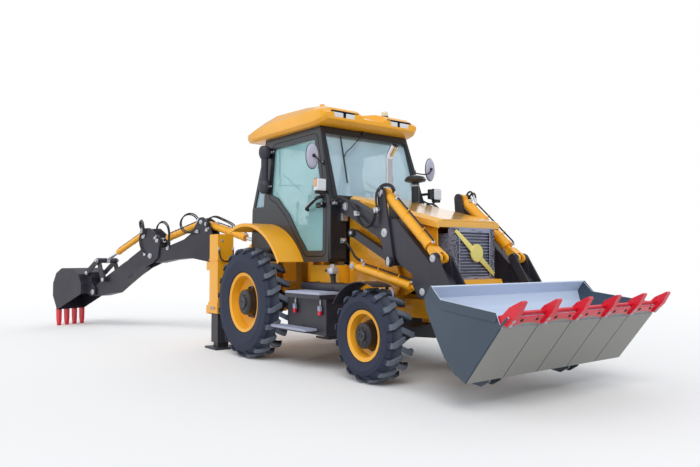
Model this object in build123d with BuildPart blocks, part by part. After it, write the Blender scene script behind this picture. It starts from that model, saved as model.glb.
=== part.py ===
from build123d import *
import os
from math import cos, hypot, radians, sin

# A backhoe loader: a wheeled tractor with a loading bucket in front and a digging arm behind.
# Millimetres. X points forward, Y to the machine's left and Z up.
# The origin is on the ground under the middle of the rear axle.

os.makedirs("parts", exist_ok=True)

# Driving sizes of the whole machine
WHEELBASE = 2267.0
FIT = 0.1            # running clearance of a pin in its eye, on the radius
GAP = 5.0            # clearance between plates that pass each other
SEAT = 0.3           # gap between pieces that only rest on each other

# Wheels
REAR_R, REAR_W, REAR_Y, REAR_RIM = 706.0, 380.0, 990.0, 367.0
FRONT_R, FRONT_W, FRONT_Y, FRONT_RIM = 482.0, 365.0, 845.0, 249.0
KINGPIN_Y = 612.0
KINGPIN_R = 24.0
SPINDLE_R = 55.0
HALFSHAFT_R = 70.0
AXLE_TUBE_R = 150.0
BEAD = 12.0          # depth of the tyre's bead inside the rim's nominal radius
AXLE_Z = FRONT_R
AXLE_CREST = 80.0    # top of the front axle's beam above its middle, where it carries the frame

# Chassis
RAIL_IN, RAIL_OUT = 260.0, 360.0
RAIL_LOW, RAIL_TOP = 640.0, 840.0
RAIL_REAR, RAIL_FRONT = -700.0, 2900.0
TOWER_IN, TOWER_OUT = 474.0, 500.0
SHELF = 40.0
NOSE_FRONT, NOSE_HALF = 3010.0, 320.0

# Loader: every plate of one side lies in a band of its own, given as distance from the middle
ARM_Y = 595.0
ARM_W = 120.0
PLATE = 22.0         # thickness of the levers' and ears' plates
PIN_R = 25.0
BIG_PIN_R = 32.0
ARM_PIN = (1550.0, 1865.0)        # arm to tower
LINK_PIN = (1635.0, 1560.0)       # levelling link to tower
LEVER_PIN = (2260.0, 1540.0)      # tilt lever to arm
LEVER_LOW = (2345.0, 1235.0)      # tilt lever to levelling link
TILT_TAIL = (2200.0, 1975.0)      # tilt ram to tilt lever
TILT_HEAD = (3000.0, 1270.0)      # tilt ram to front lever
FRONT_PIN = (3060.0, 835.0)       # front lever to arm
BUCKET_PIN = (3450.0, 220.0)      # bucket to arm
CROWD_PIN = (3390.0, 655.0)       # bucket to bucket link
LIFT_TAIL = (1640.0, 1184.0)      # lift ram to tower
LIFT_HEAD = (2800.0, 940.0)       # lift ram to arm
LOADER_HALF = 1160.0              # half the loading bucket's width

# Digging arm, drawn in its own upright plane: distance out from the slewing axis, and height
KING_X = -1400.0
SLEW = 22.0                       # turned towards the right at rest, degrees
BOOM_PIN = (300.0, 850.0)
BOOM_HEAD = (-50.0, 1470.0)       # boom ram's rod eye, on the kingpost
BOOM_TAIL = (1150.0, 1835.0)      # boom ram's barrel, on the boom
DIP_TAIL = (1264.0, 1873.0)       # dipper ram's barrel, on the boom
DIP_HEAD = (2260.0, 1580.0)       # dipper ram's rod eye, on the dipper
DIP_PIN = (2420.0, 1312.0)        # dipper to boom
DIG_TAIL = (2613.0, 1753.0)       # bucket ram's barrel, on the dipper
DIG_HEAD = (3700.0, 1230.0)       # bucket ram's rod eye, between the dipper's levers
DIG_LEVER = (3580.0, 880.0)       # levers to dipper
DIG_PIN = (3880.0, 650.0)         # digging bucket to dipper
DIG_LINK = (4000.0, 1000.0)       # link to digging bucket
BOOM_W = 200.0
DIG_HALF = 300.0                  # half the digging bucket's width

# Stabilisers
LEG_X, LEG_Y = -970.0, 960.0
LEG_SIDE = 200.0
SLIDE_FIT = 0.4      # clearance of a leg in its column's collars
COLUMN_X, COLUMN_Y, COLUMN_WALL = 260.0, 240.0, 14.0
COLUMN_LOW, COLUMN_TOP = 500.0, 1610.0
PAD = (360.0, 320.0, 28.0)

# Cab: three level sections, as height, rear, front and half width
CAB_LOW = (1229.0, -430.0, 1385.0, 780.0)
CAB_WAIST = (1930.0, -415.0, 1398.0, 772.0)
CAB_TOP = (2868.0, -180.0, 1100.0, 700.0)
CAB_WALL = 48.0
GLASS = 6.0
DOOR_GAP = 9.0
DOOR_CORNER, QUARTER_CORNER = 90.0, 10.0   # corner radii of the door openings and quarter windows
HINGE_X, HINGE_Y = -35.0, 805.0   # upright hinge line of the doors
HINGE_Z = (2220.0, 2680.0)        # heights of each door's two hinges
HINGE_PIN, HINGE_BARREL, HINGE_LUG, HINGE_STRAP = 9.0, 42.0, 50.0, 40.0

# Bonnet
BONNET_HALF = 470.0
BONNET_REAR = (1402.0, 1982.0)
BONNET_FRONT = (2840.0, 1635.0)
BONNET_LIP = 48.0                 # depth of the bonnet's front edge
NOSE_TOP = 1054.0
GRILLE_HALF, GRILLE_X = 316.0, 2900.0
GRILLE_LOW, GRILLE_TOP = NOSE_TOP + SEAT, BONNET_FRONT[1] - BONNET_LIP - SEAT


def side(distance):
    """The upright plane along the machine at a distance to the left; local x is forward."""
    return Plane(origin=(0, distance, 0), x_dir=(1, 0, 0), z_dir=(0, -1, 0))


def hoe(distance):
    """The upright plane of the digging arm at a distance from its middle; local x is outward."""
    turn = radians(SLEW)
    across = Vector(-sin(turn), cos(turn), 0)
    return Plane(origin=Vector(KING_X, 0, 0) + across * distance,
                 x_dir=(-cos(turn), -sin(turn), 0), z_dir=across)


def plate(plane, outline, thick, corner=0.0, mode=Mode.ADD):
    """A flat piece on both sides of a plane, from the points of its outline."""
    with BuildSketch(plane) as face:
        with BuildLine():
            Polyline(*outline, close=True)
        make_face()
        if corner:
            fillet(face.vertices(), corner)
    extrude(face.sketch, amount=thick / 2, both=True, mode=mode)


def pin(plane, at, radius, length, mode=Mode.ADD):
    """A round pin, boss or bore square to a plane and centred on it."""
    with BuildSketch(plane) as disc:
        with Locations(at):
            Circle(radius)
    extrude(disc.sketch, amount=length / 2, both=True, mode=mode)


def bar(plane, ends, thick, mode=Mode.ADD):
    """A flat link with round ends, from a table of (point, radius)."""
    with BuildSketch(plane) as face:
        for at, radius in ends:
            with Locations(at):
                Circle(radius)
        make_hull()
    extrude(face.sketch, amount=thick / 2, both=True, mode=mode)


def box(low, high, mode=Mode.ADD):
    """A block between two opposite corners."""
    size = [b - a for a, b in zip(low, high)]
    with Locations([tuple((a + b) / 2 for a, b in zip(low, high))]):
        Box(*size, mode=mode)


def tube(plane, start, end, radius, bore=0.0, mode=Mode.ADD):
    """A round bar or tube between two points of a plane."""
    first, last = plane.from_local_coords(start), plane.from_local_coords(end)
    with BuildSketch(Plane(origin=first, z_dir=last - first)) as ring:
        Circle(radius)
        if bore:
            Circle(bore, mode=Mode.SUBTRACT)
    extrude(ring.sketch, amount=(last - first).length, mode=mode)


def along(start, end, distance):
    """The point at a distance from start on the way to end."""
    run = hypot(end[0] - start[0], end[1] - start[1])
    share = distance / run
    return (start[0] + (end[0] - start[0]) * share, start[1] + (end[1] - start[1]) * share)


def shell_outline(points, wall):
    """A run of points, closed by the same run moved to its left by a wall's thickness."""
    moved = []
    for k, (x, y) in enumerate(points):
        sides = []
        for a, b in ((k - 1, k), (k, k + 1)):
            if a >= 0 and b < len(points):
                run = Vector(points[b][0] - points[a][0], points[b][1] - points[a][1]).normalized()
                sides.append(Vector(-run.Y, run.X))
        first, last = sides[0], sides[-1]
        shift = (first + last) * (wall / (1 + first.dot(last)))
        moved.append((x + shift.X, y + shift.Y))
    return list(points) + moved[::-1]


# Rams, one row each: plane, tail pin, head pin, barrel length, rod length, outer radius, rod radius
RAM_EYE = 50.0
RAM_EYE_W = 70.0
FORK_W, FORK_SLOT = 112.0, 46.0      # the tilt rods end in a fork
RAMS = {
    "lift": (side(ARM_Y), LIFT_TAIL, LIFT_HEAD, 970.0, 1035.0, 48.0, 25.0),
    "tilt": (side(ARM_Y), TILT_TAIL, TILT_HEAD, 880.0, 940.0, 60.0, 27.0),
    "boom": (hoe(0), BOOM_TAIL, BOOM_HEAD, 800.0, 800.0, 62.0, 30.0),
    "dipper": (hoe(0), DIP_TAIL, DIP_HEAD, 880.0, 860.0, 58.0, 28.0),
    "dig": (hoe(0), DIG_TAIL, DIG_HEAD, 850.0, 980.0, 50.0, 25.0),
}


def barrel(ram):
    """A ram's barrel: an eye on its tail pin, a bored tube and a gland ring at the mouth."""
    plane, tail, head, length, rod_length, radius, rod_radius = RAMS[ram]
    bottom = along(tail, head, RAM_EYE + 35)
    tube(plane, along(tail, head, RAM_EYE * 0.6), bottom, RAM_EYE_W / 2 - 2)
    tube(plane, bottom, along(tail, head, length), radius, rod_radius + 6)
    tube(plane, bottom, along(tail, head, RAM_EYE + 55), radius)
    mouth = along(tail, head, length - 45)
    tube(plane, mouth, along(tail, head, length), radius + 5, rod_radius + FIT)
    pin(plane, tail, RAM_EYE, RAM_EYE_W)
    pin(plane, tail, PIN_R + FIT, RAM_EYE_W + 2, mode=Mode.SUBTRACT)


def rod(ram):
    """A ram's rod: from inside the barrel out to an eye that is open to its pin's seat."""
    plane, tail, head, length, rod_length, radius, rod_radius = RAMS[ram]
    tube(plane, along(head, tail, rod_length), along(head, tail, RAM_EYE * 0.6), rod_radius)
    if ram == "tilt":
        bar(plane, [(head, RAM_EYE), (along(head, tail, 130), rod_radius + 9)], FORK_W)
        bar(plane, [(head, RAM_EYE + 4), (along(head, tail, 40), RAM_EYE - 6)], FORK_SLOT, mode=Mode.SUBTRACT)
    else:
        pin(plane, head, RAM_EYE, RAM_EYE_W - 10)
    pin(plane, head, PIN_R, FORK_W + 2, mode=Mode.SUBTRACT)


def keep(piece, name):
    """Name a finished piece and write it."""
    piece.part.label = name
    export_step(piece.part, f"parts/{name}.step")


# The arm's own band, and the plates that pass outside and inside of it
ARM_FACE = ARM_W / 2
LEVER_OFF = ARM_FACE + GAP + PLATE / 2
LINK_OFF = LEVER_OFF + PLATE + GAP
LEVER_PLANES = [side(ARM_Y + LEVER_OFF), side(ARM_Y - LEVER_OFF)]
LINK_PLANES = [side(ARM_Y + LINK_OFF), side(ARM_Y - LINK_OFF)]

# Chassis frame: two rails, cross members, the loader's towers, the nose and the cab's posts
with BuildPart() as chassis_frame:
    box((RAIL_REAR, RAIL_IN, RAIL_LOW), (RAIL_FRONT, RAIL_OUT, RAIL_TOP))
    tower = [(1430, RAIL_TOP), (1430, 1900), (1480, 1945), (1620, 1945), (1720, 1690),
             (2240, 1230), (2320, 1000), (2200, RAIL_TOP)]
    plate(side((TOWER_IN + TOWER_OUT) / 2), tower, TOWER_OUT - TOWER_IN)
    box((1430, RAIL_IN, RAIL_TOP), (2200, TOWER_IN, RAIL_TOP + SHELF))
    for at, radius, reach in ((ARM_PIN, BIG_PIN_R, ARM_Y + ARM_FACE + 12),
                              (LINK_PIN, PIN_R, ARM_Y + 40), (LIFT_TAIL, PIN_R, ARM_Y + 45)):
        middle = (TOWER_OUT + reach) / 2
        pin(side(middle), at, radius, reach - TOWER_OUT)
        pin(side(TOWER_OUT + 15), at, radius + 22, 30)
    box((820, RAIL_IN, RAIL_TOP), (1395, 640, 1190))
    box((-250, RAIL_IN, RAIL_TOP), (250, RAIL_OUT, RAIL_TOP + 120))
    for x in (-560, 60, 700):
        box((x, RAIL_IN, RAIL_TOP), (x + 120, RAIL_OUT, CAB_LOW[0] - SEAT))
    mirror(about=Plane.XZ)
    for x in (-690, 480, 1430, 2780):
        box((x, -RAIL_IN, RAIL_LOW + 20), (x + 110, RAIL_IN, RAIL_TOP - 20))
    plate(side(0), [(2790, 700), (2790, NOSE_TOP), (2990, NOSE_TOP), (NOSE_FRONT, 993), (NOSE_FRONT, 760),
                    (2950, 700)], 2 * NOSE_HALF)
    box((1430, -TOWER_IN, RAIL_TOP), (1470, TOWER_IN, 1500))
    box((WHEELBASE - 60, -RAIL_IN, RAIL_LOW), (WHEELBASE + 60, RAIL_IN, RAIL_TOP - 40))
    box((WHEELBASE - 55, -90, AXLE_Z + AXLE_CREST + SEAT), (WHEELBASE + 55, 90, RAIL_LOW))
    pin(side(0), (0, REAR_R), AXLE_TUBE_R + SEAT, 900, mode=Mode.SUBTRACT)
keep(chassis_frame, "chassis_frame")

# Axles: the rear one is a housing across the machine with a bulb for the gears and a shaft for
# each wheel, the front one a beam that is deeper in the middle, with a yoke for each knuckle
YOKE_LOW, YOKE_TOP, YOKE_T = AXLE_Z - 95, AXLE_Z + 95, 34.0
YOKE_OUT = KINGPIN_Y + 34
with BuildPart() as axles:
    for radius, half in ((105, 700), (AXLE_TUBE_R, 420), (190, 130), (HALFSHAFT_R, 960)):
        pin(side(0), (0, REAR_R), radius, 2 * half)
    for way in (1, -1):
        pin(side(way * 640), (0, REAR_R), 170, 90)
    with BuildSketch(Plane.YZ.offset(WHEELBASE - 70)) as beam:
        with BuildLine():
            Polyline((0, AXLE_Z - 90), (360, AXLE_Z - 50), (530, YOKE_LOW - YOKE_T),
                     (YOKE_OUT, YOKE_LOW - YOKE_T), (YOKE_OUT, YOKE_LOW),
                     (540, YOKE_LOW), (540, YOKE_TOP), (YOKE_OUT, YOKE_TOP),
                     (YOKE_OUT, YOKE_TOP + YOKE_T), (530, YOKE_TOP + YOKE_T),
                     (360, AXLE_Z + 50), (0, AXLE_Z + AXLE_CREST), close=True)
        make_face()
        mirror(about=Plane.YZ)
    extrude(beam.sketch, amount=140)
    for way in (1, -1):
        with Locations((WHEELBASE, way * KINGPIN_Y, AXLE_Z)):
            Cylinder(KINGPIN_R + FIT, 400, mode=Mode.SUBTRACT)
keep(axles, "axles")

# Steering knuckles: a block on an upright kingpin, with the front wheel's spindle, and a stay
# behind the tyre's inner face that carries the mudguard's arc
GUARD_R, GUARD_T = FRONT_R + 62, 8.0
GUARD_IN, GUARD_OUT = 780.0, FRONT_Y + FRONT_W / 2
STAY_IN, STAY_T = FRONT_Y - 195.0, 8.0      # the stay's upper part, beside the tyre
FOOT_IN = KINGPIN_Y + 54                    # its foot, outside of the yoke's swing
FOOT_TOP = AXLE_Z + 175                     # where the foot steps in to the upper part
STAY_LOW, STAY_TOP = FRONT_R * 2 + 8, FRONT_R * 2 + 20
for name, way in (("knuckle_left", 1), ("knuckle_right", -1)):
    with BuildPart() as knuckle:
        with Locations((WHEELBASE, way * KINGPIN_Y, AXLE_Z)):
            Cylinder(KINGPIN_R, 2 * (95 + YOKE_T) + 16)
            Box(110, 84, 2 * (95 - GAP))
        pin(side(way * (KINGPIN_Y + 135)), (WHEELBASE, AXLE_Z), SPINDLE_R, 250)
        plate(side(way * (FOOT_IN + STAY_T / 2)),
              [(WHEELBASE - 55, AXLE_Z - 60), (WHEELBASE + 55, AXLE_Z - 60), (WHEELBASE + 55, AXLE_Z + 40),
               (WHEELBASE + 20, AXLE_Z + 88), (WHEELBASE + 20, FOOT_TOP), (WHEELBASE - 20, FOOT_TOP),
               (WHEELBASE - 20, AXLE_Z + 88), (WHEELBASE - 55, AXLE_Z + 40)], STAY_T)
        for inner, outer, low, high in ((STAY_IN, FOOT_IN + STAY_T, FOOT_TOP - 35, FOOT_TOP),
                                        (STAY_IN, STAY_IN + STAY_T, FOOT_TOP - 35, STAY_TOP),
                                        (STAY_IN, GUARD_IN + 12, STAY_LOW, STAY_TOP),
                                        (GUARD_IN, GUARD_IN + 12, STAY_LOW, AXLE_Z + GUARD_R + 2)):
            plate(side(way * (inner + outer) / 2),
                  [(WHEELBASE - 20, low), (WHEELBASE + 20, low), (WHEELBASE + 20, high), (WHEELBASE - 20, high)],
                  outer - inner)
        with BuildSketch(side(way * (GUARD_IN + GUARD_OUT) / 2)) as arc:
            with Locations((WHEELBASE, AXLE_Z)):
                Circle(GUARD_R + GUARD_T)
                Circle(GUARD_R, mode=Mode.SUBTRACT)
            with BuildLine():
                Polyline((WHEELBASE, AXLE_Z), (WHEELBASE + 900, AXLE_Z + 2100),
                         (WHEELBASE - 1600, AXLE_Z + 2100), (WHEELBASE - 1600, AXLE_Z + 1050),
                         close=True)
            make_face(mode=Mode.INTERSECT)
        extrude(arc.sketch, amount=(GUARD_OUT - GUARD_IN) / 2, both=True)
    keep(knuckle, name)


def make_tyre(radius, width, rim, lugs, lug_depth, lug_width):
    """A tyre about the Z axis: a carcass, and two staggered rows of slanting lugs."""
    half = width / 2
    crown = radius - lug_depth
    with BuildPart() as lug:
        with BuildSketch(Plane.YZ.offset(crown - 40)) as foot:
            with BuildLine():
                Polyline((-lug_width / 2, -12), (lug_width / 2, -12), (lug_width * 1.5, half * 0.62),
                         (lug_width * 1.5, half), (lug_width * 0.5, half),
                         (lug_width * 0.5, half * 0.62), close=True)
            make_face()
        extrude(foot.sketch, amount=lug_depth + 60)
        with BuildSketch(Plane.XZ) as envelope:
            with BuildLine():
                Polyline((crown - 60, -half), (radius, -20), (radius, half * 0.45),
                         (radius - 14, half * 0.8), (crown - 48, half), (crown - 60, half * 0.3),
                         close=True)
            make_face()
        revolve(envelope.sketch, axis=Axis.Z, mode=Mode.INTERSECT)
    with BuildPart() as tyre:
        with BuildSketch(Plane.XZ) as section:
            with BuildLine():
                Polyline((rim - BEAD, half * 0.62), (rim + 16, half * 0.62 + 9), (rim + 30, half * 0.80),
                         (rim + (crown - rim) * 0.5, half * 0.985), (crown - 55, half * 0.92),
                         (crown - 10, half * 0.7), (crown, half * 0.2), (crown, 0),
                         (rim - BEAD, 0), close=True)
            make_face()
            mirror(about=Plane.XY)
        revolve(section.sketch, axis=Axis.Z)
        with PolarLocations(0, lugs):
            add(lug.part)
        with PolarLocations(0, lugs, start_angle=180 / lugs):
            add(lug.part.mirror(Plane.XY))
    return tyre.part


def make_rim(rim, width, bore, hub_r, hub_out, dish):
    """A wheel about the Z axis, outside up: a channel for the tyre, a dished disc and a hub."""
    half = width / 2 * 0.62
    bed = rim - BEAD - SEAT
    with BuildPart() as wheel:
        with BuildSketch(Plane.XZ) as section:
            with BuildLine():
                Polyline((bed, half), (rim + 14, half + 10), (rim + 14, half + 22),
                         (rim - 26, half + 12), (rim - 44, dish), (hub_r + 30, dish - 26),
                         (hub_r + 10, hub_out), (hub_r - 25, hub_out + 14), (bore, hub_out + 14),
                         (bore, -half * 0.5), (hub_r, -half * 0.5), (hub_r, dish - 60),
                         (rim - 60, dish - 30), (rim - 40, -half - 12), (rim + 14, -half - 22),
                         (rim + 14, -half - 10), (bed, -half), close=True)
            make_face()
        revolve(section.sketch, axis=Axis.Z)
    return wheel.part


# Wheels: size, and then one tyre and one rim for each side
WHEELS = (
    # name, x, height, side distance, radius, width, rim, lugs, lug depth, lug width
    ("rear", 0.0, REAR_R, REAR_Y, REAR_R, REAR_W, REAR_RIM, 20, 36.0, 62.0),
    ("front", WHEELBASE, FRONT_R, FRONT_Y, FRONT_R, FRONT_W, FRONT_RIM, 16, 30.0, 56.0),
)
HUBS = {"rear": (HALFSHAFT_R + FIT, 150.0, 120.0, 20.0), "front": (SPINDLE_R + FIT, 120.0, 130.0, 30.0)}
for name, x, z, y, radius, width, rim, lugs, depth, lug_width in WHEELS:
    tyre_shape = make_tyre(radius, width, rim, lugs, depth, lug_width)
    bore, hub_r, hub_out, dish = HUBS[name]
    rim_shape = make_rim(rim, width, bore, hub_r, hub_out, dish)
    seat = Plane(origin=(x, y, z), x_dir=(1, 0, 0), z_dir=(0, 1, 0))
    for what, shape in (("tyre", tyre_shape), ("rim", rim_shape)):
        placed = shape.moved(seat.location)
        with BuildPart() as left_piece:
            add(placed)
        keep(left_piece, f"{what}_{name}_left")
        with BuildPart() as right_piece:
            mirror(placed, about=Plane.XZ)
        keep(right_piece, f"{what}_{name}_right")

# Engine: one plain block on two bearers across the rails
with BuildPart() as engine_block:
    box((1560, -230, RAIL_TOP + SHELF + SEAT), (2560, 230, 1480))
    for x, low in ((1620, RAIL_TOP + SHELF + SEAT), (2420, RAIL_TOP + SEAT)):
        box((x, -RAIL_IN - 60, low), (x + 80, RAIL_IN + 60, 960))
keep(engine_block, "engine_block")

# Bonnet: a hollow cover that slopes down to the front and hangs over the grille
with BuildPart() as bonnet:
    def bonnet_section(end, drop, inset, crown):
        """Points of the bonnet's cross section at one end, inset by a wall."""
        x, z = end
        half = BONNET_HALF - inset
        return [(-half, z - drop), (-half, z - inset), (-half + 60, z + crown - inset),
                (half - 60, z + crown - inset), (half, z - inset), (half, z - drop)]

    for inset, mode in ((0, Mode.ADD), (14, Mode.SUBTRACT)):
        sections = []
        for end, drop in ((BONNET_REAR, 90), (BONNET_FRONT, 62)):
            with BuildSketch(Plane.YZ.offset(end[0])) as section:
                with BuildLine():
                    Polyline(*bonnet_section(end, drop + inset, inset, 34), close=True)
                make_face()
            sections.append(section.sketch)
        loft(sections, ruled=True, mode=mode)
    box((BONNET_FRONT[0] - 20, -BONNET_HALF + 14, BONNET_FRONT[1] - BONNET_LIP),
        (BONNET_FRONT[0], BONNET_HALF - 14, BONNET_FRONT[1] + 18))
keep(bonnet, "bonnet")

# Side panels: the plates under the bonnet's edges, in front of and above the towers
with BuildPart() as side_panels:
    panel = [(1475, RAIL_TOP + SHELF + SEAT), (1475, 1885), (2790, 1572), (2800, 1090), (2780, 1060),
             (2700, 1060), (2330, RAIL_TOP + SHELF + SEAT)]
    plate(side(430), panel, 14)
    mirror(about=Plane.XZ)
keep(side_panels, "side_panels")

# Grille: a frame with level slats in front of the radiator's core
SLATS = 15
with BuildPart() as grille:
    box((GRILLE_X - 70, -GRILLE_HALF, GRILLE_LOW), (GRILLE_X, GRILLE_HALF, GRILLE_TOP))
    box((GRILLE_X - 60, -GRILLE_HALF + 34, GRILLE_LOW + 30), (GRILLE_X + 1, GRILLE_HALF - 34, GRILLE_TOP - 26),
        mode=Mode.SUBTRACT)
    pitch = (GRILLE_TOP - GRILLE_LOW - 56) / SLATS
    with Locations([(GRILLE_X - 18, 0, GRILLE_LOW + 30 + pitch * (k + 0.5)) for k in range(SLATS)]):
        Box(24, 2 * GRILLE_HALF - 60, pitch * 0.3)
    box((GRILLE_X - 250, -GRILLE_HALF + 10, GRILLE_LOW + 10), (GRILLE_X - 70, GRILLE_HALF - 10, GRILLE_TOP - 60))
keep(grille, "grille")

# Air cleaner's bowl and stem, and the exhaust with its bent tip, both standing on the bonnet
AIR_X, AIR_Y = 1700.0, 300.0
EXHAUST_X, EXHAUST_Y, EXHAUST_R = 1850.0, -250.0, 42.0


def bonnet_top(x):
    """Height of the bonnet's flat top at a distance forward."""
    share = (x - BONNET_REAR[0]) / (BONNET_FRONT[0] - BONNET_REAR[0])
    return BONNET_REAR[1] + share * (BONNET_FRONT[1] - BONNET_REAR[1]) + 34


with BuildPart() as air_cleaner:
    low = bonnet_top(AIR_X - 47) + SEAT
    with BuildSketch(Plane.XZ.offset(-AIR_Y)) as bowl:
        with BuildLine():
            Polyline((AIR_X, low), (AIR_X + 47, low), (AIR_X + 47, 2190), (AIR_X + 120, 2205),
                     (AIR_X + 136, 2225), (AIR_X + 110, 2262), (AIR_X + 50, 2280), (AIR_X, 2282),
                     close=True)
        make_face()
    revolve(bowl.sketch, axis=Axis((AIR_X, AIR_Y, 0), (0, 0, 1)))
keep(air_cleaner, "air_cleaner")

with BuildPart() as exhaust:
    base = bonnet_top(EXHAUST_X - EXHAUST_R) + SEAT
    with BuildLine() as bend:
        FilletPolyline((EXHAUST_X, EXHAUST_Y, base), (EXHAUST_X, EXHAUST_Y, 2440),
                       (EXHAUST_X + 95, EXHAUST_Y, 2555), radius=110)
    with BuildSketch(Plane(origin=(EXHAUST_X, EXHAUST_Y, base), z_dir=(0, 0, 1))) as ring:
        Circle(EXHAUST_R)
        Circle(EXHAUST_R - 4, mode=Mode.SUBTRACT)
    sweep(ring.sketch, path=bend.line)
keep(exhaust, "exhaust")


def cab_walls(inset, wall):
    """The cab's leaning walls, a distance inside its outer faces, open above and below."""
    for offset, mode in ((inset, Mode.ADD), (inset + wall, Mode.SUBTRACT)):
        sections = []
        for height, rear, front, half in (CAB_LOW, CAB_WAIST, CAB_TOP):
            with BuildSketch(Plane.XY.offset(height)) as level:
                with Locations(((rear + front) / 2, 0)):
                    Rectangle(front - rear - 2 * offset, 2 * (half - offset))
            sections.append(level.sketch)
        loft(sections, ruled=True, mode=mode)


def grown(outline, distance, corner):
    """An outline moved out by a distance, or in if it is negative, with its corners rounded."""
    with BuildSketch() as flat:
        with BuildLine():
            Polyline(*outline, close=True)
        make_face()
        if distance:
            offset(amount=distance, kind=Kind.INTERSECTION)
        fillet(flat.vertices(), corner + distance)
    return flat.sketch


def through(window, distance, low, high, mode):
    """Cut or keep what lies within a window's outline seen from the side, between two distances."""
    shape = grown(window[0], distance, window[1])
    base = Plane(origin=(0, low, 0), x_dir=(1, 0, 0), z_dir=(0, -1, 0))
    placed = shape.moved(base.location)
    extrude(placed, amount=-(high - low), mode=mode)


DOOR = ([(0, 2790), (1052, 2790), (1338, 1935), (1338, 1290), (905, 1290), (810, 1400), (705, 1505),
         (470, 1780), (200, 1990), (0, 2060)], DOOR_CORNER)
DOOR_FRAME = 62.0
QUARTER = ([(-112, 1960), (-352, 1960), (-148, 2780), (-112, 2780)], QUARTER_CORNER)
SCREEN = (640.0, 2010.0, 2800.0)
BACK_GLASS = (620.0, 1760.0, 2790.0)


def wall_half(height):
    """Half the cab's outer width at a height above its waist."""
    share = (height - CAB_WAIST[0]) / (CAB_TOP[0] - CAB_WAIST[0])
    return CAB_WAIST[3] + share * (CAB_TOP[3] - CAB_WAIST[3])


def hinge_plate(way, low, thick, foot, foot_r):
    """A level plate from the hinge line to a foot in the cab's wall, on one side of the cab."""
    with BuildSketch(Plane.XY.offset(low)) as flat:
        with Locations((HINGE_X, way * HINGE_Y)):
            Circle(HINGE_PIN * 2)
        with Locations((foot[0], way * foot[1])):
            Circle(foot_r)
        make_hull()
        with Locations((HINGE_X, way * HINGE_Y)):
            Circle(HINGE_BARREL)
    extrude(flat.sketch, amount=thick)


# Cab frame: hollow, with door openings, quarter windows, windscreen and rear window cut out, and
# the lugs and pins of the doors' hinges on its pillars
with BuildPart() as cab_frame:
    cab_walls(0, CAB_WALL)
    box((CAB_LOW[1] + 20, -CAB_LOW[3] + 20, CAB_LOW[0]), (CAB_LOW[2] - 20, CAB_LOW[3] - 20, CAB_LOW[0] + 34))
    for window in (DOOR, QUARTER):
        through(window, 0, 400, 900, Mode.SUBTRACT)
        through(window, 0, -900, -400, Mode.SUBTRACT)
    for (half, low, high), rear, front in ((SCREEN, 950, 1500), (BACK_GLASS, -600, 0)):
        box((rear, -half, low), (front, half, high), mode=Mode.SUBTRACT)
    for way in (1, -1):
        for z in HINGE_Z:
            for low in (z - HINGE_STRAP / 2 - HINGE_LUG, z + HINGE_STRAP / 2):
                hinge_plate(way, low, HINGE_LUG, (HINGE_X - 20, wall_half(z) - 22), 20)
            with Locations((HINGE_X, way * HINGE_Y, z)):
                Cylinder(HINGE_PIN, HINGE_STRAP + 2 * HINGE_LUG + 10)
keep(cab_frame, "cab_frame")

# Fixed glass: windscreen, rear window and the two quarter windows, set into the frame
with BuildPart() as cab_glass:
    cab_walls(20, GLASS)
    with BuildPart(mode=Mode.PRIVATE) as windows:
        box((950, -SCREEN[0] + SEAT, SCREEN[1] + SEAT), (1500, SCREEN[0] - SEAT, SCREEN[2] - SEAT))
        box((-600, -BACK_GLASS[0] + SEAT, BACK_GLASS[1] + SEAT), (-60, BACK_GLASS[0] - SEAT, BACK_GLASS[2] - SEAT))
        through(QUARTER, -SEAT, 655, 900, Mode.ADD)
        through(QUARTER, -SEAT, -900, -655, Mode.ADD)
    add(windows.part, mode=Mode.INTERSECT)
keep(cab_glass, "cab_glass")

# Doors: the same leaning wall inside the opening, with one large window each
for name, way, low, high in (("left", 1, 600, 900), ("right", -1, -900, -600)):
    with BuildPart() as door:
        cab_walls(0, CAB_WALL - 6)
        through(DOOR, -DOOR_GAP, low, high, Mode.INTERSECT)
        through(DOOR, -DOOR_GAP - DOOR_FRAME, low, high, Mode.SUBTRACT)
        for z in HINGE_Z:
            hinge_plate(way, z - HINGE_STRAP / 2 + SEAT, HINGE_STRAP - 2 * SEAT, (HINGE_X + 85, wall_half(z) - 20), 12)
            with Locations((HINGE_X, way * HINGE_Y, z)):
                Cylinder(HINGE_PIN + FIT, HINGE_STRAP + 2, mode=Mode.SUBTRACT)
    keep(door, f"door_{name}")
    with BuildPart() as pane:
        cab_walls(16, GLASS)
        through(DOOR, -DOOR_GAP - DOOR_FRAME - SEAT, low, high, Mode.INTERSECT)
    keep(pane, f"door_glass_{name}")

# Roof: a thick cap through level sections from back to front, a valley between its two front
# brows, a recess for the lamps in each brow, and a small boss on its right side
ROOF_HALF = 800.0
ROOF_LOW = CAB_TOP[0] + SEAT
ROOF_CREST, ROOF_FALL = (700.0, 3165.0), (1060.0, 3128.0)   # ends of the top's front slope
ROOF_SECTIONS = (
    # x, half width, underside, top of the side, crown
    (-660.0, ROOF_HALF - 130, ROOF_LOW + 45, 2965.0, 2990.0),
    (-560.0, ROOF_HALF - 30, ROOF_LOW + 15, 2990.0, 3060.0),
    (-320.0, ROOF_HALF, ROOF_LOW, 3020.0, 3150.0),
    (0.0, ROOF_HALF, ROOF_LOW, 3035.0, 3190.0),
    (ROOF_CREST[0], ROOF_HALF, ROOF_LOW, 3045.0, ROOF_CREST[1]),
    (ROOF_FALL[0], ROOF_HALF - 5, ROOF_LOW, 3050.0, ROOF_FALL[1]),
    (1200.0, ROOF_HALF - 25, ROOF_LOW + 25, 3040.0, 3085.0),
    (1270.0, ROOF_HALF - 70, ROOF_LOW + 65, 3000.0, 3020.0),
)
SHOULDER = 170.0
LAMP_BAY = (1160.0, 290.0, 610.0, 2962.0, 3048.0)   # back, inner and outer side, low and high
KNOB = (960.0, -570.0, 30.0)
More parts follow.
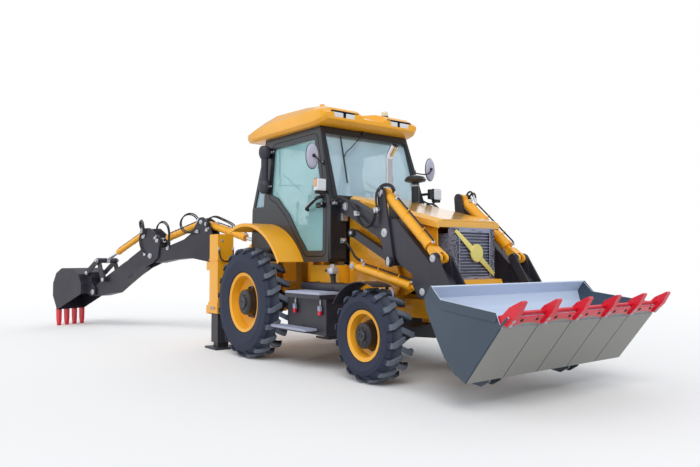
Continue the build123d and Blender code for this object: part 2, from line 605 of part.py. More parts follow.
with BuildPart() as cab_roof:
    sections = []
    for x, half, low, edge, crown in ROOF_SECTIONS:
        with BuildSketch(Plane.YZ.offset(x)) as section:
            with BuildLine():
                Polyline((35 - half, low), (half - 35, low), (half, low + 40), (half, edge),
                         (half - SHOULDER, crown), (SHOULDER - half, crown), (-half, edge),
                         (-half, low + 40), close=True)
            make_face()
        sections.append(section.sketch)
    loft(sections, ruled=True)
    with BuildSketch(Plane.YZ.offset(ROOF_SECTIONS[-1][0])) as valley:
        with BuildLine():
            Polyline((-150, 2985), (150, 2985), (250, 3120), (-250, 3120), close=True)
        make_face()
    with BuildSketch(Plane.YZ.offset(ROOF_CREST[0] + 60)) as end:
        with BuildLine():
            Polyline((-150, 3160), (150, 3160), (250, 3295), (-250, 3295), close=True)
        make_face()
    loft([end.sketch, valley.sketch], ruled=True, mode=Mode.SUBTRACT)
    back, inner, outer, low, high = LAMP_BAY
    for way in (1, -1):
        box((back, min(way * inner, way * outer), low), (1300, max(way * inner, way * outer), high),
            mode=Mode.SUBTRACT)
    with Locations((KNOB[0], KNOB[1], 3170)):
        Cylinder(KNOB[2], 110)
keep(cab_roof, "cab_roof")

# Lamps: a pair in each roof recess, a headlamp on each side, and the beacon
BEACON_X, BEACON_Y, BEACON_R = 900.0, 500.0, 55.0
with BuildPart() as lamps:
    for way in (1, -1):
        for y in (372, 528):
            box((LAMP_BAY[0] + SEAT, way * y - 66, LAMP_BAY[3] + 10), (LAMP_BAY[0] + 55, way * y + 66, LAMP_BAY[4] - 10))
    foot = along(ROOF_CREST, ROOF_FALL, BEACON_X - BEACON_R - ROOF_CREST[0])[1] + SEAT
    with BuildSketch(Plane.XZ.offset(-BEACON_Y)) as dome:
        with BuildLine():
            Polyline((BEACON_X, foot), (BEACON_X + BEACON_R, foot), (BEACON_X + BEACON_R, foot + 28),
                     (BEACON_X + BEACON_R - 11, foot + 33), (BEACON_X + BEACON_R - 11, foot + 68),
                     (BEACON_X + BEACON_R - 25, foot + 88), (BEACON_X, foot + 91), close=True)
        make_face()
    revolve(dome.sketch, axis=Axis((BEACON_X, BEACON_Y, 0), (0, 0, 1)))
    for way in (1, -1):
        plate(side(way * 930), [(1400, 2030), (1470, 2030), (1470, 2180), (1400, 2180)], 140)
        plate(side(way * 830), [(1400, 2040), (1450, 2040), (1450, 2170), (1400, 2170)], 60)
        plate(side(way * 790), [(1290, 2090), (1420, 2090), (1420, 2120), (1290, 2120)], 60)
keep(lamps, "lamps")

# Mirrors: an upright oval on an arm from each front pillar
with BuildPart() as mirrors:
    with BuildSketch(Plane.YZ.offset(1290)) as oval:
        with Locations((950, 2450)):
            Ellipse(85, 150)
    extrude(oval.sketch, amount=40)
    tube(Plane.XY.offset(2410), (1222, 744), (1300, 945), 11)
    box((1195, 738, 2380), (1240, 750, 2440))
    mirror(about=Plane.XZ)
keep(mirrors, "mirrors")

# Driver's place: a seat on a pedestal, a dash column with its wheel, and a side console
with BuildPart() as driver_place:
    box((250, -200, CAB_LOW[0] + 34 + SEAT), (560, 200, 1560))
    box((190, -260, 1560), (680, 260, 1680))
    plate(side(0), [(190, 1640), (330, 1640), (250, 2280), (130, 2280)], 480)
    plate(side(0), [(1060, CAB_LOW[0] + 34 + SEAT), (1330, CAB_LOW[0] + 34 + SEAT), (1330, 1900),
                    (1200, 1940), (1090, 1860)], 420)
    tube(side(0), (1120, 1850), (985, 1990), 26)
    wheel_plane = Plane(origin=(985, 0, 1990), z_dir=(-135, 0, 140))
    with BuildSketch(wheel_plane) as ring:
        Circle(195)
        Circle(165, mode=Mode.SUBTRACT)
        Rectangle(350, 34)
        Circle(46)
    extrude(ring.sketch, amount=26, both=True)
keep(driver_place, "driver_place")

# Rear wheel arches: a broad yellow band over each rear tyre, with its inner wall
FENDER_R, FENDER_T, FENDER_LIP = 1005.0, 12.0, 30.0
FENDER_IN, FENDER_OUT = CAB_LOW[3] + SEAT, 1130.0
with BuildPart() as rear_fenders:
    with BuildSketch(side((FENDER_IN + FENDER_OUT) / 2)) as arc:
        with Locations((0, REAR_R)):
            Circle(FENDER_R + FENDER_T)
            Circle(FENDER_R, mode=Mode.SUBTRACT)
        with BuildLine():
            Polyline((0, REAR_R), (2000, REAR_R + 1200), (2000, REAR_R + 3000), (-1300, REAR_R + 3000),
                     close=True)
        make_face(mode=Mode.INTERSECT)
    extrude(arc.sketch, amount=(FENDER_OUT - FENDER_IN) / 2, both=True)
    with BuildSketch(side(FENDER_OUT - FENDER_T / 2)) as lip:
        with Locations((0, REAR_R)):
            Circle(FENDER_R + FENDER_T)
            Circle(FENDER_R - FENDER_LIP, mode=Mode.SUBTRACT)
        with BuildLine():
            Polyline((0, REAR_R), (2000, REAR_R + 1200), (2000, REAR_R + 3000), (-1300, REAR_R + 3000),
                     close=True)
        make_face(mode=Mode.INTERSECT)
    extrude(lip.sketch, amount=FENDER_T / 2, both=True)
    mirror(about=Plane.XZ)
keep(rear_fenders, "rear_fenders")

# Boxes and steps between the wheels, as long as the room between the tyres allows
STEP_REAR, STEP_FRONT = REAR_R + 44, WHEELBASE - FRONT_R - 145
with BuildPart() as steps:
    box((STEP_REAR + 380, RAIL_OUT, 410), (STEP_FRONT - 40, 960, RAIL_TOP - 2))
    box((STEP_REAR, RAIL_OUT, 560), (STEP_REAR + 380, 700, RAIL_TOP - 2))
    mirror(about=Plane.XZ)
    box((STEP_REAR + 190, 680, RAIL_TOP - 20), (STEP_FRONT, 1080, 890))
    box((STEP_REAR - 60, 940, 440), (STEP_FRONT - 220, 1120, 475))
    mirror(about=Plane.XZ)
keep(steps, "steps")

# Loader arms: a deep box section on each side, joined by a tube behind the bucket
ARM = [(1450, 1800), (1475, 1930), (1600, 1945), (2180, 1690), (2410, 1680), (2890, 1242),
       (3010, 1140), (3130, 1050), (3230, 840), (3280, 660), (3500, 330), (3530, 210), (3460, 140), (3380, 160),
       (3110, 560), (2960, 890), (2895, 965), (2440, 1233), (2300, 1420), (2130, 1490), (1560, 1770)]
CROSS = (3165.0, 690.0)
with BuildPart() as loader_arms:
    plate(side(ARM_Y), ARM, ARM_W)
    for off in (-1, 1):
        plate(side(ARM_Y + off * (ARM_FACE - 9)), [(2650, 1150), (2920, 980), (2880, 890), (2810, 870),
                                                    (2740, 880), (2660, 1000)], 18)
    for at, radius in ((ARM_PIN, BIG_PIN_R), (LEVER_PIN, BIG_PIN_R), (FRONT_PIN, BIG_PIN_R),
                       (BUCKET_PIN, BIG_PIN_R)):
        pin(side(ARM_Y), at, radius + FIT, ARM_W + 40, mode=Mode.SUBTRACT)
    mirror(about=Plane.XZ)
    pin(side(0), CROSS, 55, 2 * (ARM_Y - ARM_FACE))
keep(loader_arms, "loader_arms")

# Levelling links: from the tower to the foot of the tilt lever, parallel to the arm
with BuildPart() as level_links:
    bar(side(ARM_Y), [(LINK_PIN, 44), (LEVER_LOW, 44)], 60)
    for at in (LINK_PIN, LEVER_LOW):
        pin(side(ARM_Y), at, PIN_R + FIT, 80, mode=Mode.SUBTRACT)
    mirror(about=Plane.XZ)
keep(level_links, "level_links")

# Tilt levers: a bent plate on each face of the arm, with the pins between them
LEVER_SPAN = 2 * (LEVER_OFF + PLATE / 2)
with BuildPart() as tilt_levers:
    for plane in LEVER_PLANES:
        bar(plane, [(TILT_TAIL, 55), (LEVER_PIN, 82)], PLATE)
        bar(plane, [(LEVER_PIN, 82), (LEVER_LOW, 55)], PLATE)
    for at, radius in ((TILT_TAIL, PIN_R), (LEVER_PIN, BIG_PIN_R), (LEVER_LOW, PIN_R)):
        pin(side(ARM_Y), at, radius, LEVER_SPAN + 6)
    mirror(about=Plane.XZ)
keep(tilt_levers, "tilt_levers")

# Front levers' pins, the levers, the pins at their heads, the links and the bucket's pins
with BuildPart() as front_lever_pins:
    pin(side(ARM_Y), FRONT_PIN, BIG_PIN_R, LEVER_SPAN + 16)
    mirror(about=Plane.XZ)
keep(front_lever_pins, "front_lever_pins")
with BuildPart() as front_levers:
    for plane in LEVER_PLANES:
        bar(plane, [(FRONT_PIN, 60), (TILT_HEAD, 55)], PLATE)
        pin(plane, FRONT_PIN, BIG_PIN_R + FIT, PLATE + 2, mode=Mode.SUBTRACT)
        pin(plane, TILT_HEAD, PIN_R + FIT, PLATE + 2, mode=Mode.SUBTRACT)
    mirror(about=Plane.XZ)
keep(front_levers, "front_levers")
STUB = LINK_OFF - LEVER_OFF + PLATE
with BuildPart() as link_pins:
    for way in (1, -1):
        pin(side(ARM_Y + way * (LEVER_OFF + LINK_OFF) / 2), TILT_HEAD, PIN_R, STUB + 6)
    mirror(about=Plane.XZ)
keep(link_pins, "link_pins")
with BuildPart() as bucket_links:
    for plane in LINK_PLANES:
        bar(plane, [(TILT_HEAD, 48), (CROWD_PIN, 48)], PLATE)
        pin(plane, TILT_HEAD, PIN_R + FIT, PLATE + 2, mode=Mode.SUBTRACT)
        pin(plane, CROWD_PIN, PIN_R + 1, PLATE + 2, mode=Mode.SUBTRACT)
    mirror(about=Plane.XZ)
keep(bucket_links, "bucket_links")
with BuildPart() as bucket_pins:
    pin(side(ARM_Y), BUCKET_PIN, BIG_PIN_R, LEVER_SPAN + 16)
    mirror(about=Plane.XZ)
keep(bucket_pins, "bucket_pins")

# Rams of the loader, one on each side
for ram in ("lift", "tilt"):
    with BuildPart() as ram_barrel:
        barrel(ram)
        mirror(about=Plane.XZ)
    keep(ram_barrel, f"{ram}_barrels")
    with BuildPart() as ram_rod:
        rod(ram)
        mirror(about=Plane.XZ)
    keep(ram_rod, f"{ram}_rods")

# Loading bucket: a bent shell between two side plates, with ears for the arms and the links
BUCKET_BACK = [(3416, 1032), (3342, 926), (3366, 823), (3496, 578), (3577, 436), (3700, 312), (3809, 259)]
BUCKET_FLOOR = [(4170, 735), (4245, 812)]
BUCKET_CHEEK = BUCKET_BACK + [(4170, 735), (4122, 848), (3534, 918)]
CHEEK_STRIP = [(3430, 1030), (3534, 918), (4122, 848), (4140, 806), (4128, 775), (3552, 842), (3400, 985)]
BUCKET_WALL = 16.0
WEAR_T, WEAR_PLATES, WEAR_GAP = 8.0, 5, 9.0
with BuildPart() as loader_bucket:
    plate(side(0), shell_outline(BUCKET_BACK + BUCKET_FLOOR, BUCKET_WALL), 2 * LOADER_HALF)
    plate(side(LOADER_HALF - BUCKET_WALL / 2), BUCKET_CHEEK, BUCKET_WALL)
    plate(side(-LOADER_HALF + BUCKET_WALL / 2), BUCKET_CHEEK, BUCKET_WALL)
    ear = [(3345, 690), (3400, 718), (3452, 668), (3500, 584), (3582, 440), (3708, 318), (3650, 190),
           (3560, 135), (3440, 150), (3380, 200), (3372, 400), (3342, 620)]
    for way in (1, -1):
        for off in (-LEVER_OFF, LEVER_OFF):
            plane = side(way * (ARM_Y + off))
            plate(plane, ear, PLATE)
            pin(plane, BUCKET_PIN, BIG_PIN_R + FIT, PLATE + 2, mode=Mode.SUBTRACT)
        pin(side(way * ARM_Y), CROWD_PIN, PIN_R, 2 * (LINK_OFF + PLATE / 2) + 12)
    for way in (1, -1):
        plate(side(way * (LOADER_HALF + WEAR_T / 2)), CHEEK_STRIP, WEAR_T)
    under = shell_outline([BUCKET_BACK[-1], BUCKET_FLOOR[0]], -WEAR_T)
    for k in range(WEAR_PLATES):
        y = ((2 * k + 1) / WEAR_PLATES - 1) * LOADER_HALF
        plate(side(y), under, 2 * LOADER_HALF / WEAR_PLATES - WEAR_GAP)
keep(loader_bucket, "loader_bucket")

# Teeth of the loading bucket: an edge bar and six bolted teeth that point along the floor
TEETH = 6
TOOTH_HALF = LOADER_HALF - 52      # to the middle of the outermost tooth


def edge_point(forward, lift):
    """A point from the start of the floor's last stretch, along its top face and square to it."""
    (x, z), (front_x, front_z) = BUCKET_FLOOR
    run = Vector(front_x - x, front_z - z).normalized()
    height = BUCKET_WALL + lift
    return (x + run.X * forward - run.Y * height, z + run.Y * forward + run.X * height)


reach = hypot(BUCKET_FLOOR[1][0] - BUCKET_FLOOR[0][0], BUCKET_FLOOR[1][1] - BUCKET_FLOOR[0][1])
with BuildPart() as loader_teeth:
    plate(side(0), [edge_point(30, 0), edge_point(150, 0), edge_point(150, 16), edge_point(30, 16)],
          2 * LOADER_HALF - 40)
    for k in range(TEETH):
        y = -TOOTH_HALF + 2 * TOOTH_HALF * k / (TEETH - 1)
        nose = [edge_point(20, 0), edge_point(-15, 40), edge_point(40, 72), edge_point(75, 50),
                edge_point(165, 46), edge_point(285, 2), edge_point(285, -14), edge_point(170, -44),
                edge_point(45, -46), edge_point(25, -BUCKET_WALL), edge_point(reach, -BUCKET_WALL),
                edge_point(reach, 0)]
        plate(side(y), nose, 62)
keep(loader_teeth, "loader_teeth")

# Rear frame: two rails across, a back plate, the stabilisers' columns and the slewing lugs
LUG_LOW, LUG_TOP, LUG_T = 470.0, 1250.0, 80.0
SLEW_R = 40.0
with BuildPart() as rear_frame:
    for z in (480, 1100):
        box((-1200, -1080, z), (-1104, 1080, z + 120))
    box((-1104, -840, 480), (-1074, 840, 1220))
    for way in (1, -1):
        box((LEG_X - COLUMN_X / 2, way * LEG_Y - COLUMN_Y / 2, COLUMN_LOW),
            (LEG_X + COLUMN_X / 2, way * LEG_Y + COLUMN_Y / 2, COLUMN_TOP))
        box((LEG_X - COLUMN_X / 2 + COLUMN_WALL, way * LEG_Y - COLUMN_Y / 2 + COLUMN_WALL, COLUMN_LOW - 1),
            (LEG_X + COLUMN_X / 2 - COLUMN_WALL, way * LEG_Y + COLUMN_Y / 2 - COLUMN_WALL,
             COLUMN_TOP - COLUMN_WALL), mode=Mode.SUBTRACT)
        for z, depth, out in ((COLUMN_LOW, 150, 14), (1080, 50, 0), (1240, 14, 10)):
            with BuildSketch(Plane.XY.offset(z)) as collar:
                with Locations((LEG_X, way * LEG_Y)):
                    Rectangle(COLUMN_X + 2 * out, COLUMN_Y + 2 * out)
                    Rectangle(LEG_SIDE + 2 * SLIDE_FIT, LEG_SIDE + 2 * SLIDE_FIT, mode=Mode.SUBTRACT)
            extrude(collar.sketch, amount=depth)
        for z in (480, 1100):
            box((-1130, min(way * 1080, way * 830), z), (-1100, max(way * 1080, way * 830), z + 120))
        box((-1080, min(way * 262, way * 358), 560), (RAIL_REAR, max(way * 262, way * 358), 838))
    box((-1240, -280, 450), (-1200, 280, 1350))
    for z in (LUG_LOW, LUG_TOP):
        with BuildSketch(Plane.XY.offset(z)) as lug:
            with Locations((KING_X, 0)):
                Circle(95)
            with Locations(((KING_X - 1240) / 2, 0)):
                Rectangle(-1238 - KING_X, 190)
        extrude(lug.sketch, amount=LUG_T)
    with Locations((KING_X, 0, 900)):
        Cylinder(SLEW_R + FIT, 1200, mode=Mode.SUBTRACT)
keep(rear_frame, "rear_frame")

# Stabiliser legs: a square bar in each column, on a pad that stands on the ground
for name, way in (("left", 1), ("right", -1)):
    with BuildPart() as leg:
        half = LEG_SIDE / 2
        box((LEG_X - half, way * LEG_Y - half, PAD[2] + 60), (LEG_X + half, way * LEG_Y + half, 1180))
        box((LEG_X - PAD[0] / 2, way * LEG_Y - PAD[1] / 2, 0), (LEG_X + PAD[0] / 2, way * LEG_Y + PAD[1] / 2, PAD[2]))
        box((LEG_X - 70, way * LEG_Y - 80, PAD[2]), (LEG_X + 70, way * LEG_Y + 80, PAD[2] + 60))
    keep(leg, f"stabiliser_{name}")

# Kingpost: turns on pins between the frame's lugs and carries the boom and the boom ram's rod
CHEEK_OFF = BOOM_W / 2 + GAP + 20
with BuildPart() as kingpost:
    with Locations((KING_X, 0, (LUG_LOW + LUG_TOP + LUG_T) / 2)):
        Cylinder(SLEW_R, LUG_TOP - LUG_LOW + LUG_T + 30)
        Cylinder(92, LUG_TOP - LUG_LOW - LUG_T - 2 * GAP)
    cheek = [(110, 620), (300, 730), (400, 790), (430, 870), (380, 950), (290, 1010), (270, 1300), (190, 1480),
             (20, 1560), (-110, 1540), (-125, 1430), (-60, 1350), (110, 1345)]
    for way in (1, -1):
        plate(hoe(way * CHEEK_OFF), cheek, 40)
        pin(hoe(way * (RAM_EYE_W / 2 + CHEEK_OFF) / 2), BOOM_HEAD, 55, CHEEK_OFF - RAM_EYE_W / 2)
    plate(hoe(0), [(40, 640), (150, 640), (170, 1240), (40, 1240)], 2 * CHEEK_OFF)
    pin(hoe(0), BOOM_PIN, BIG_PIN_R + 8, 2 * CHEEK_OFF + 60)
keep(kingpost, "kingpost")

# Boom: a bent box with two ears on its peak, where both upper rams are pinned
BOOM = [(190, 830), (230, 760), (320, 735), (430, 780), (720, 1010), (1080, 1211), (1480, 1277),
        (1945, 1242), (2256, 1190), (2440, 1205), (2520, 1270), (2525, 1360), (2450, 1425), (2139, 1449),
        (1949, 1499), (1646, 1590), (1250, 1610), (960, 1500), (620, 1240), (220, 950)]
PEAK = [(930, 1400), (1010, 1620), (1075, 1860), (1160, 1915), (1230, 1955), (1310, 1945), (1360, 1860),
        (1500, 1680), (1646, 1590), (1600, 1450)]
EAR_T = 26.0
EAR_OFF = 72.0 + EAR_T / 2
with BuildPart() as boom:
    plate(hoe(0), BOOM, BOOM_W)
    for way in (1, -1):
        plate(hoe(way * EAR_OFF), PEAK, EAR_T)
    pin(hoe(0), BOOM_PIN, BIG_PIN_R + 8 + FIT, BOOM_W + 2, mode=Mode.SUBTRACT)
    pin(hoe(0), DIP_PIN, BIG_PIN_R + FIT, BOOM_W + 2, mode=Mode.SUBTRACT)
    for at in (BOOM_TAIL, DIP_TAIL):
        pin(hoe(0), at, PIN_R, 2 * EAR_OFF + EAR_T + 20)
keep(boom, "boom")

# Dipper: two head plates that straddle the boom's end, and a tapering box down to the bucket
HEAD_OFF = BOOM_W / 2 + GAP + 12
DIPPER_HEAD = [(2230, 1277), (2195, 1520), (2200, 1640), (2440, 1800), (2640, 1800), (2680, 1740),
               (2660, 1420), (2960, 1255), (2960, 930), (2627, 1101), (2400, 1180)]
DIPPER_ARM = [(2640, 1110), (2640, 1395), (3065, 1205), (3515, 966), (3800, 800), (3930, 720), (3950, 620),
              (3880, 570), (3726, 577), (3399, 641), (3136, 809)]
with BuildPart() as dipper:
    for way in (1, -1):
        plate(hoe(way * HEAD_OFF), DIPPER_HEAD, 24)
    plate(hoe(0), DIPPER_ARM, 2 * HEAD_OFF)
    pin(hoe(0), DIP_PIN, BIG_PIN_R, 2 * HEAD_OFF + 50)
    pin(hoe(0), DIG_TAIL, PIN_R, 2 * HEAD_OFF + 40)
    for way in (1, -1):
        pin(hoe(way * (RAM_EYE_W / 2 + HEAD_OFF) / 2), DIP_HEAD, 52, HEAD_OFF - RAM_EYE_W / 2)
        pin(hoe(way * (RAM_EYE_W / 2 + 2 + HEAD_OFF) / 2), DIG_TAIL, 44, HEAD_OFF - RAM_EYE_W / 2 - 2)
    pin(hoe(0), DIG_PIN, BIG_PIN_R + FIT, 2 * HEAD_OFF + 60, mode=Mode.SUBTRACT)
    pin(hoe(0), DIG_LEVER, PIN_R, 2 * HEAD_OFF + 2 * 74)
keep(dipper, "dipper")

# Levers and link of the digging bucket
TIP_FACE = HEAD_OFF + 12
DIG_EAR = TIP_FACE + GAP + 15
DIG_LEVER_OFF = DIG_EAR + 15 + GAP + 10
DIG_LINK_OFF = DIG_LEVER_OFF + 10 + GAP + 10
with BuildPart() as dig_levers:
    for way in (1, -1):
        bar(hoe(way * DIG_LEVER_OFF), [(DIG_LEVER, 52), (DIG_HEAD, 48)], 20)
        pin(hoe(way * DIG_LEVER_OFF), DIG_LEVER, PIN_R + FIT, 22, mode=Mode.SUBTRACT)
        pin(hoe(way * (DIG_LEVER_OFF + 30)), DIG_HEAD, PIN_R, 80)
        pin(hoe(way * (RAM_EYE_W / 2 + DIG_LEVER_OFF) / 2), DIG_HEAD, 46, DIG_LEVER_OFF - RAM_EYE_W / 2)
keep(dig_levers, "dig_levers")
with BuildPart() as dig_link:
    for way in (1, -1):
        bar(hoe(way * DIG_LINK_OFF), [(DIG_HEAD, 46), (DIG_LINK, 46)], 20)
        pin(hoe(way * DIG_LINK_OFF), DIG_HEAD, PIN_R + FIT, 22, mode=Mode.SUBTRACT)
        pin(hoe(way * DIG_LINK_OFF), DIG_LINK, PIN_R + 1, 22, mode=Mode.SUBTRACT)
keep(dig_link, "dig_link")

# Digging bucket: a curved shell between two cheeks, hung on two ears, with four teeth
DIG_BACK = [(4720, 300), (4850, 560), (4850, 800), (4760, 990), (4600, 1085), (4310, 1090), (4120, 980),
            (4030, 800), (4040, 620)]
DIG_WALL = 16.0
with BuildPart() as dig_bucket:
    plate(hoe(0), shell_outline(DIG_BACK, DIG_WALL), 2 * DIG_HALF)
    for way in (1, -1):
        plate(hoe(way * (DIG_HALF - DIG_WALL / 2)), DIG_BACK, DIG_WALL)
        plate(hoe(way * DIG_EAR), [(3820, 590), (3920, 580), (4045, 625), (4040, 800), (4125, 975), (4090, 1050),
                                   (3990, 1060), (3940, 1000), (3920, 800), (3820, 710)], 30)
        pin(hoe(way * DIG_EAR), DIG_PIN, BIG_PIN_R, 34)
    pin(hoe(0), DIG_PIN, BIG_PIN_R, 2 * DIG_EAR + 30)
    pin(hoe(0), DIG_LINK, PIN_R, 2 * (DIG_LINK_OFF + 10) + 16)
keep(dig_bucket, "dig_bucket")
lip = shell_outline(DIG_BACK, DIG_WALL)
with BuildPart() as dig_teeth:
    for v in (-250, -84, 84, 250):
        plate(hoe(v), [along(lip[0], lip[1], 48), lip[0], lip[-1], (4682, 296), (4684, 120), (4700, 0), (4738, 0),
                       (4762, 120), (4772, 330), (4764, 352)], 62)
keep(dig_teeth, "dig_teeth")

# Rams of the digging arm
for ram in ("boom", "dipper", "dig"):
    with BuildPart() as ram_barrel:
        barrel(ram)
    keep(ram_barrel, f"{ram}_barrel")
    with BuildPart() as ram_rod:
        rod(ram)
    keep(ram_rod, f"{ram}_rod")
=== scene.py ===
"""Dresses the backhoe loader: finishes on its frame's pieces, small fittings, lamps, hoses and a studio."""

from __future__ import annotations

import logging
import math
from dataclasses import dataclass, field
from enum import Enum
from typing import Callable, Sequence

import bmesh
import bpy
from mathutils import Matrix, Vector

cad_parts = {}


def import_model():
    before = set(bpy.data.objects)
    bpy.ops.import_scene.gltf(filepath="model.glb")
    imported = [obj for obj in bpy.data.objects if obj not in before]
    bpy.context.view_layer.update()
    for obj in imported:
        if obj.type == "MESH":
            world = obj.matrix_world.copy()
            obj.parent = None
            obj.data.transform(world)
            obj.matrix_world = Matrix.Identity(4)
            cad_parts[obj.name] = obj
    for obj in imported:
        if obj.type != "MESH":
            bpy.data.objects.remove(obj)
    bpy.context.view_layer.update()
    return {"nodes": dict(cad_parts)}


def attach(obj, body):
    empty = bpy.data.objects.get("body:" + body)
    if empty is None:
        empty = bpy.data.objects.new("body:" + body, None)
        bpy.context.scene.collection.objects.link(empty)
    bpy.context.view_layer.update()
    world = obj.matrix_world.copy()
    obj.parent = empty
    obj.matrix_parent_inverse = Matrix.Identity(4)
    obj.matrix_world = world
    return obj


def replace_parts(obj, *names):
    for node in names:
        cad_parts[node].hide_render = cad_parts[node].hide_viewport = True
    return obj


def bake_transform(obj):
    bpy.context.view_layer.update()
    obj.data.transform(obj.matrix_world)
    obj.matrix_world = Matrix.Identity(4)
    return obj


LOG = logging.getLogger("backhoe")
Colour = tuple[float, float, float]
Piece = bpy.types.Object
Socket = bpy.types.NodeSocket
Point = tuple[float, float, float]
PinRow = tuple[str, float, float, float, float, float]
FaceTest = Callable[[Vector, Vector], bool]

SLEW = math.radians(22.0)
KING_X = -1.4
AHEAD, BEHIND = (1.0, 0.0, 0.0), (-1.0, 0.0, 0.0)
RIGHT, LEFT = (0.0, -1.0, 0.0), (0.0, 1.0, 0.0)
UP, DOWN = (0.0, 0.0, 1.0), (0.0, 0.0, -1.0)
ORIGIN = (0.0, 0.0, 0.0)
FLAT = 0.99  # least share of a face's normal that counts as pointing one way
MERGE = 0.00005


class Slot(Enum):
    """The record's material slots."""

    YELLOW = "yellow_paint"
    DARK = "dark_paint"
    SLATE = "slate_paint"
    RED = "red_paint"
    BLACK = "black_paint"
    CHROME = "chrome"
    GLASS = "glass"
    TYRE = "tyre"
    LAMP = "lamp_plastic"
    SEAT = "seat_plastic"


def linear(r: float, g: float, b: float) -> Colour:
    """Turns a display colour into the linear one that shaders take.

    Args:
        r: Red, from 0 to 1.
        g: Green, from 0 to 1.
        b: Blue, from 0 to 1.

    Returns:
        The same colour in linear light.
    """
    return tuple(c / 12.92 if c <= 0.04045 else ((c + 0.055) / 1.055) ** 2.4 for c in (r, g, b))


def rgba(colour: Colour) -> tuple[float, float, float, float]:
    """Adds full alpha to a colour."""
    return (*colour, 1.0)


class Graph:
    """Adds nodes to one shader tree and joins them up."""

    def __init__(self, tree: bpy.types.NodeTree) -> None:
        self.nodes, self.links = tree.nodes, tree.links

    def put(self, node: bpy.types.Node, values: dict[str | int, object]) -> bpy.types.Node:
        """Sets a node's inputs: a socket is linked, and anything else is its value.

        Args:
            node: The node.
            values: What goes into each input.

        Returns:
            The node.
        """
        for key, value in values.items():
            if isinstance(value, Socket):
                self.links.new(value, node.inputs[key])
            else:
                node.inputs[key].default_value = value
        return node

    def add(self, kind: str, values: dict[str | int, object] | None = None, **settings: object) -> bpy.types.Node:
        """Adds a node.

        Args:
            kind: The node's type.
            values: What goes into its inputs.
            settings: Its own settings.

        Returns:
            The node.
        """
        node = self.nodes.new(kind)
        for name, setting in settings.items():
            setattr(node, name, setting)
        return self.put(node, values or {})

    def maths(self, operation: str, *values: object, clamp: bool = False) -> Socket:
        """The result of a sum of sockets and numbers."""
        return self.add("ShaderNodeMath", dict(enumerate(values)), operation=operation, use_clamp=clamp).outputs[0]

    def mix(self, share: object, first: object, second: object) -> Socket:
        """A colour between two others."""
        values = {"Factor": share, "A": first, "B": second}
        return self.add("ShaderNodeMix", values, data_type="RGBA").outputs["Result"]

    def span(self, value: Socket, low: float, high: float) -> Socket:
        """A value as its share of the way from low to high."""
        values = {"Value": value, "From Min": low, "From Max": high}
        return self.add("ShaderNodeMapRange", values).outputs["Result"]

    def length(self, vector: Socket) -> Socket:
        """A vector's length."""
        return self.add("ShaderNodeVectorMath", {0: vector}, operation="LENGTH").outputs["Value"]

    def place(self) -> Socket:
        """The point in the object's own coordinates."""
        return self.add("ShaderNodeTexCoord").outputs["Object"]


def new_material(name: str) -> tuple[bpy.types.Material, Graph, bpy.types.Node]:
    """An empty material, its graph and its shader."""
    material = bpy.data.materials.new(name)
    material.use_nodes = True
    return material, Graph(material.node_tree), material.node_tree.nodes["Principled BSDF"]


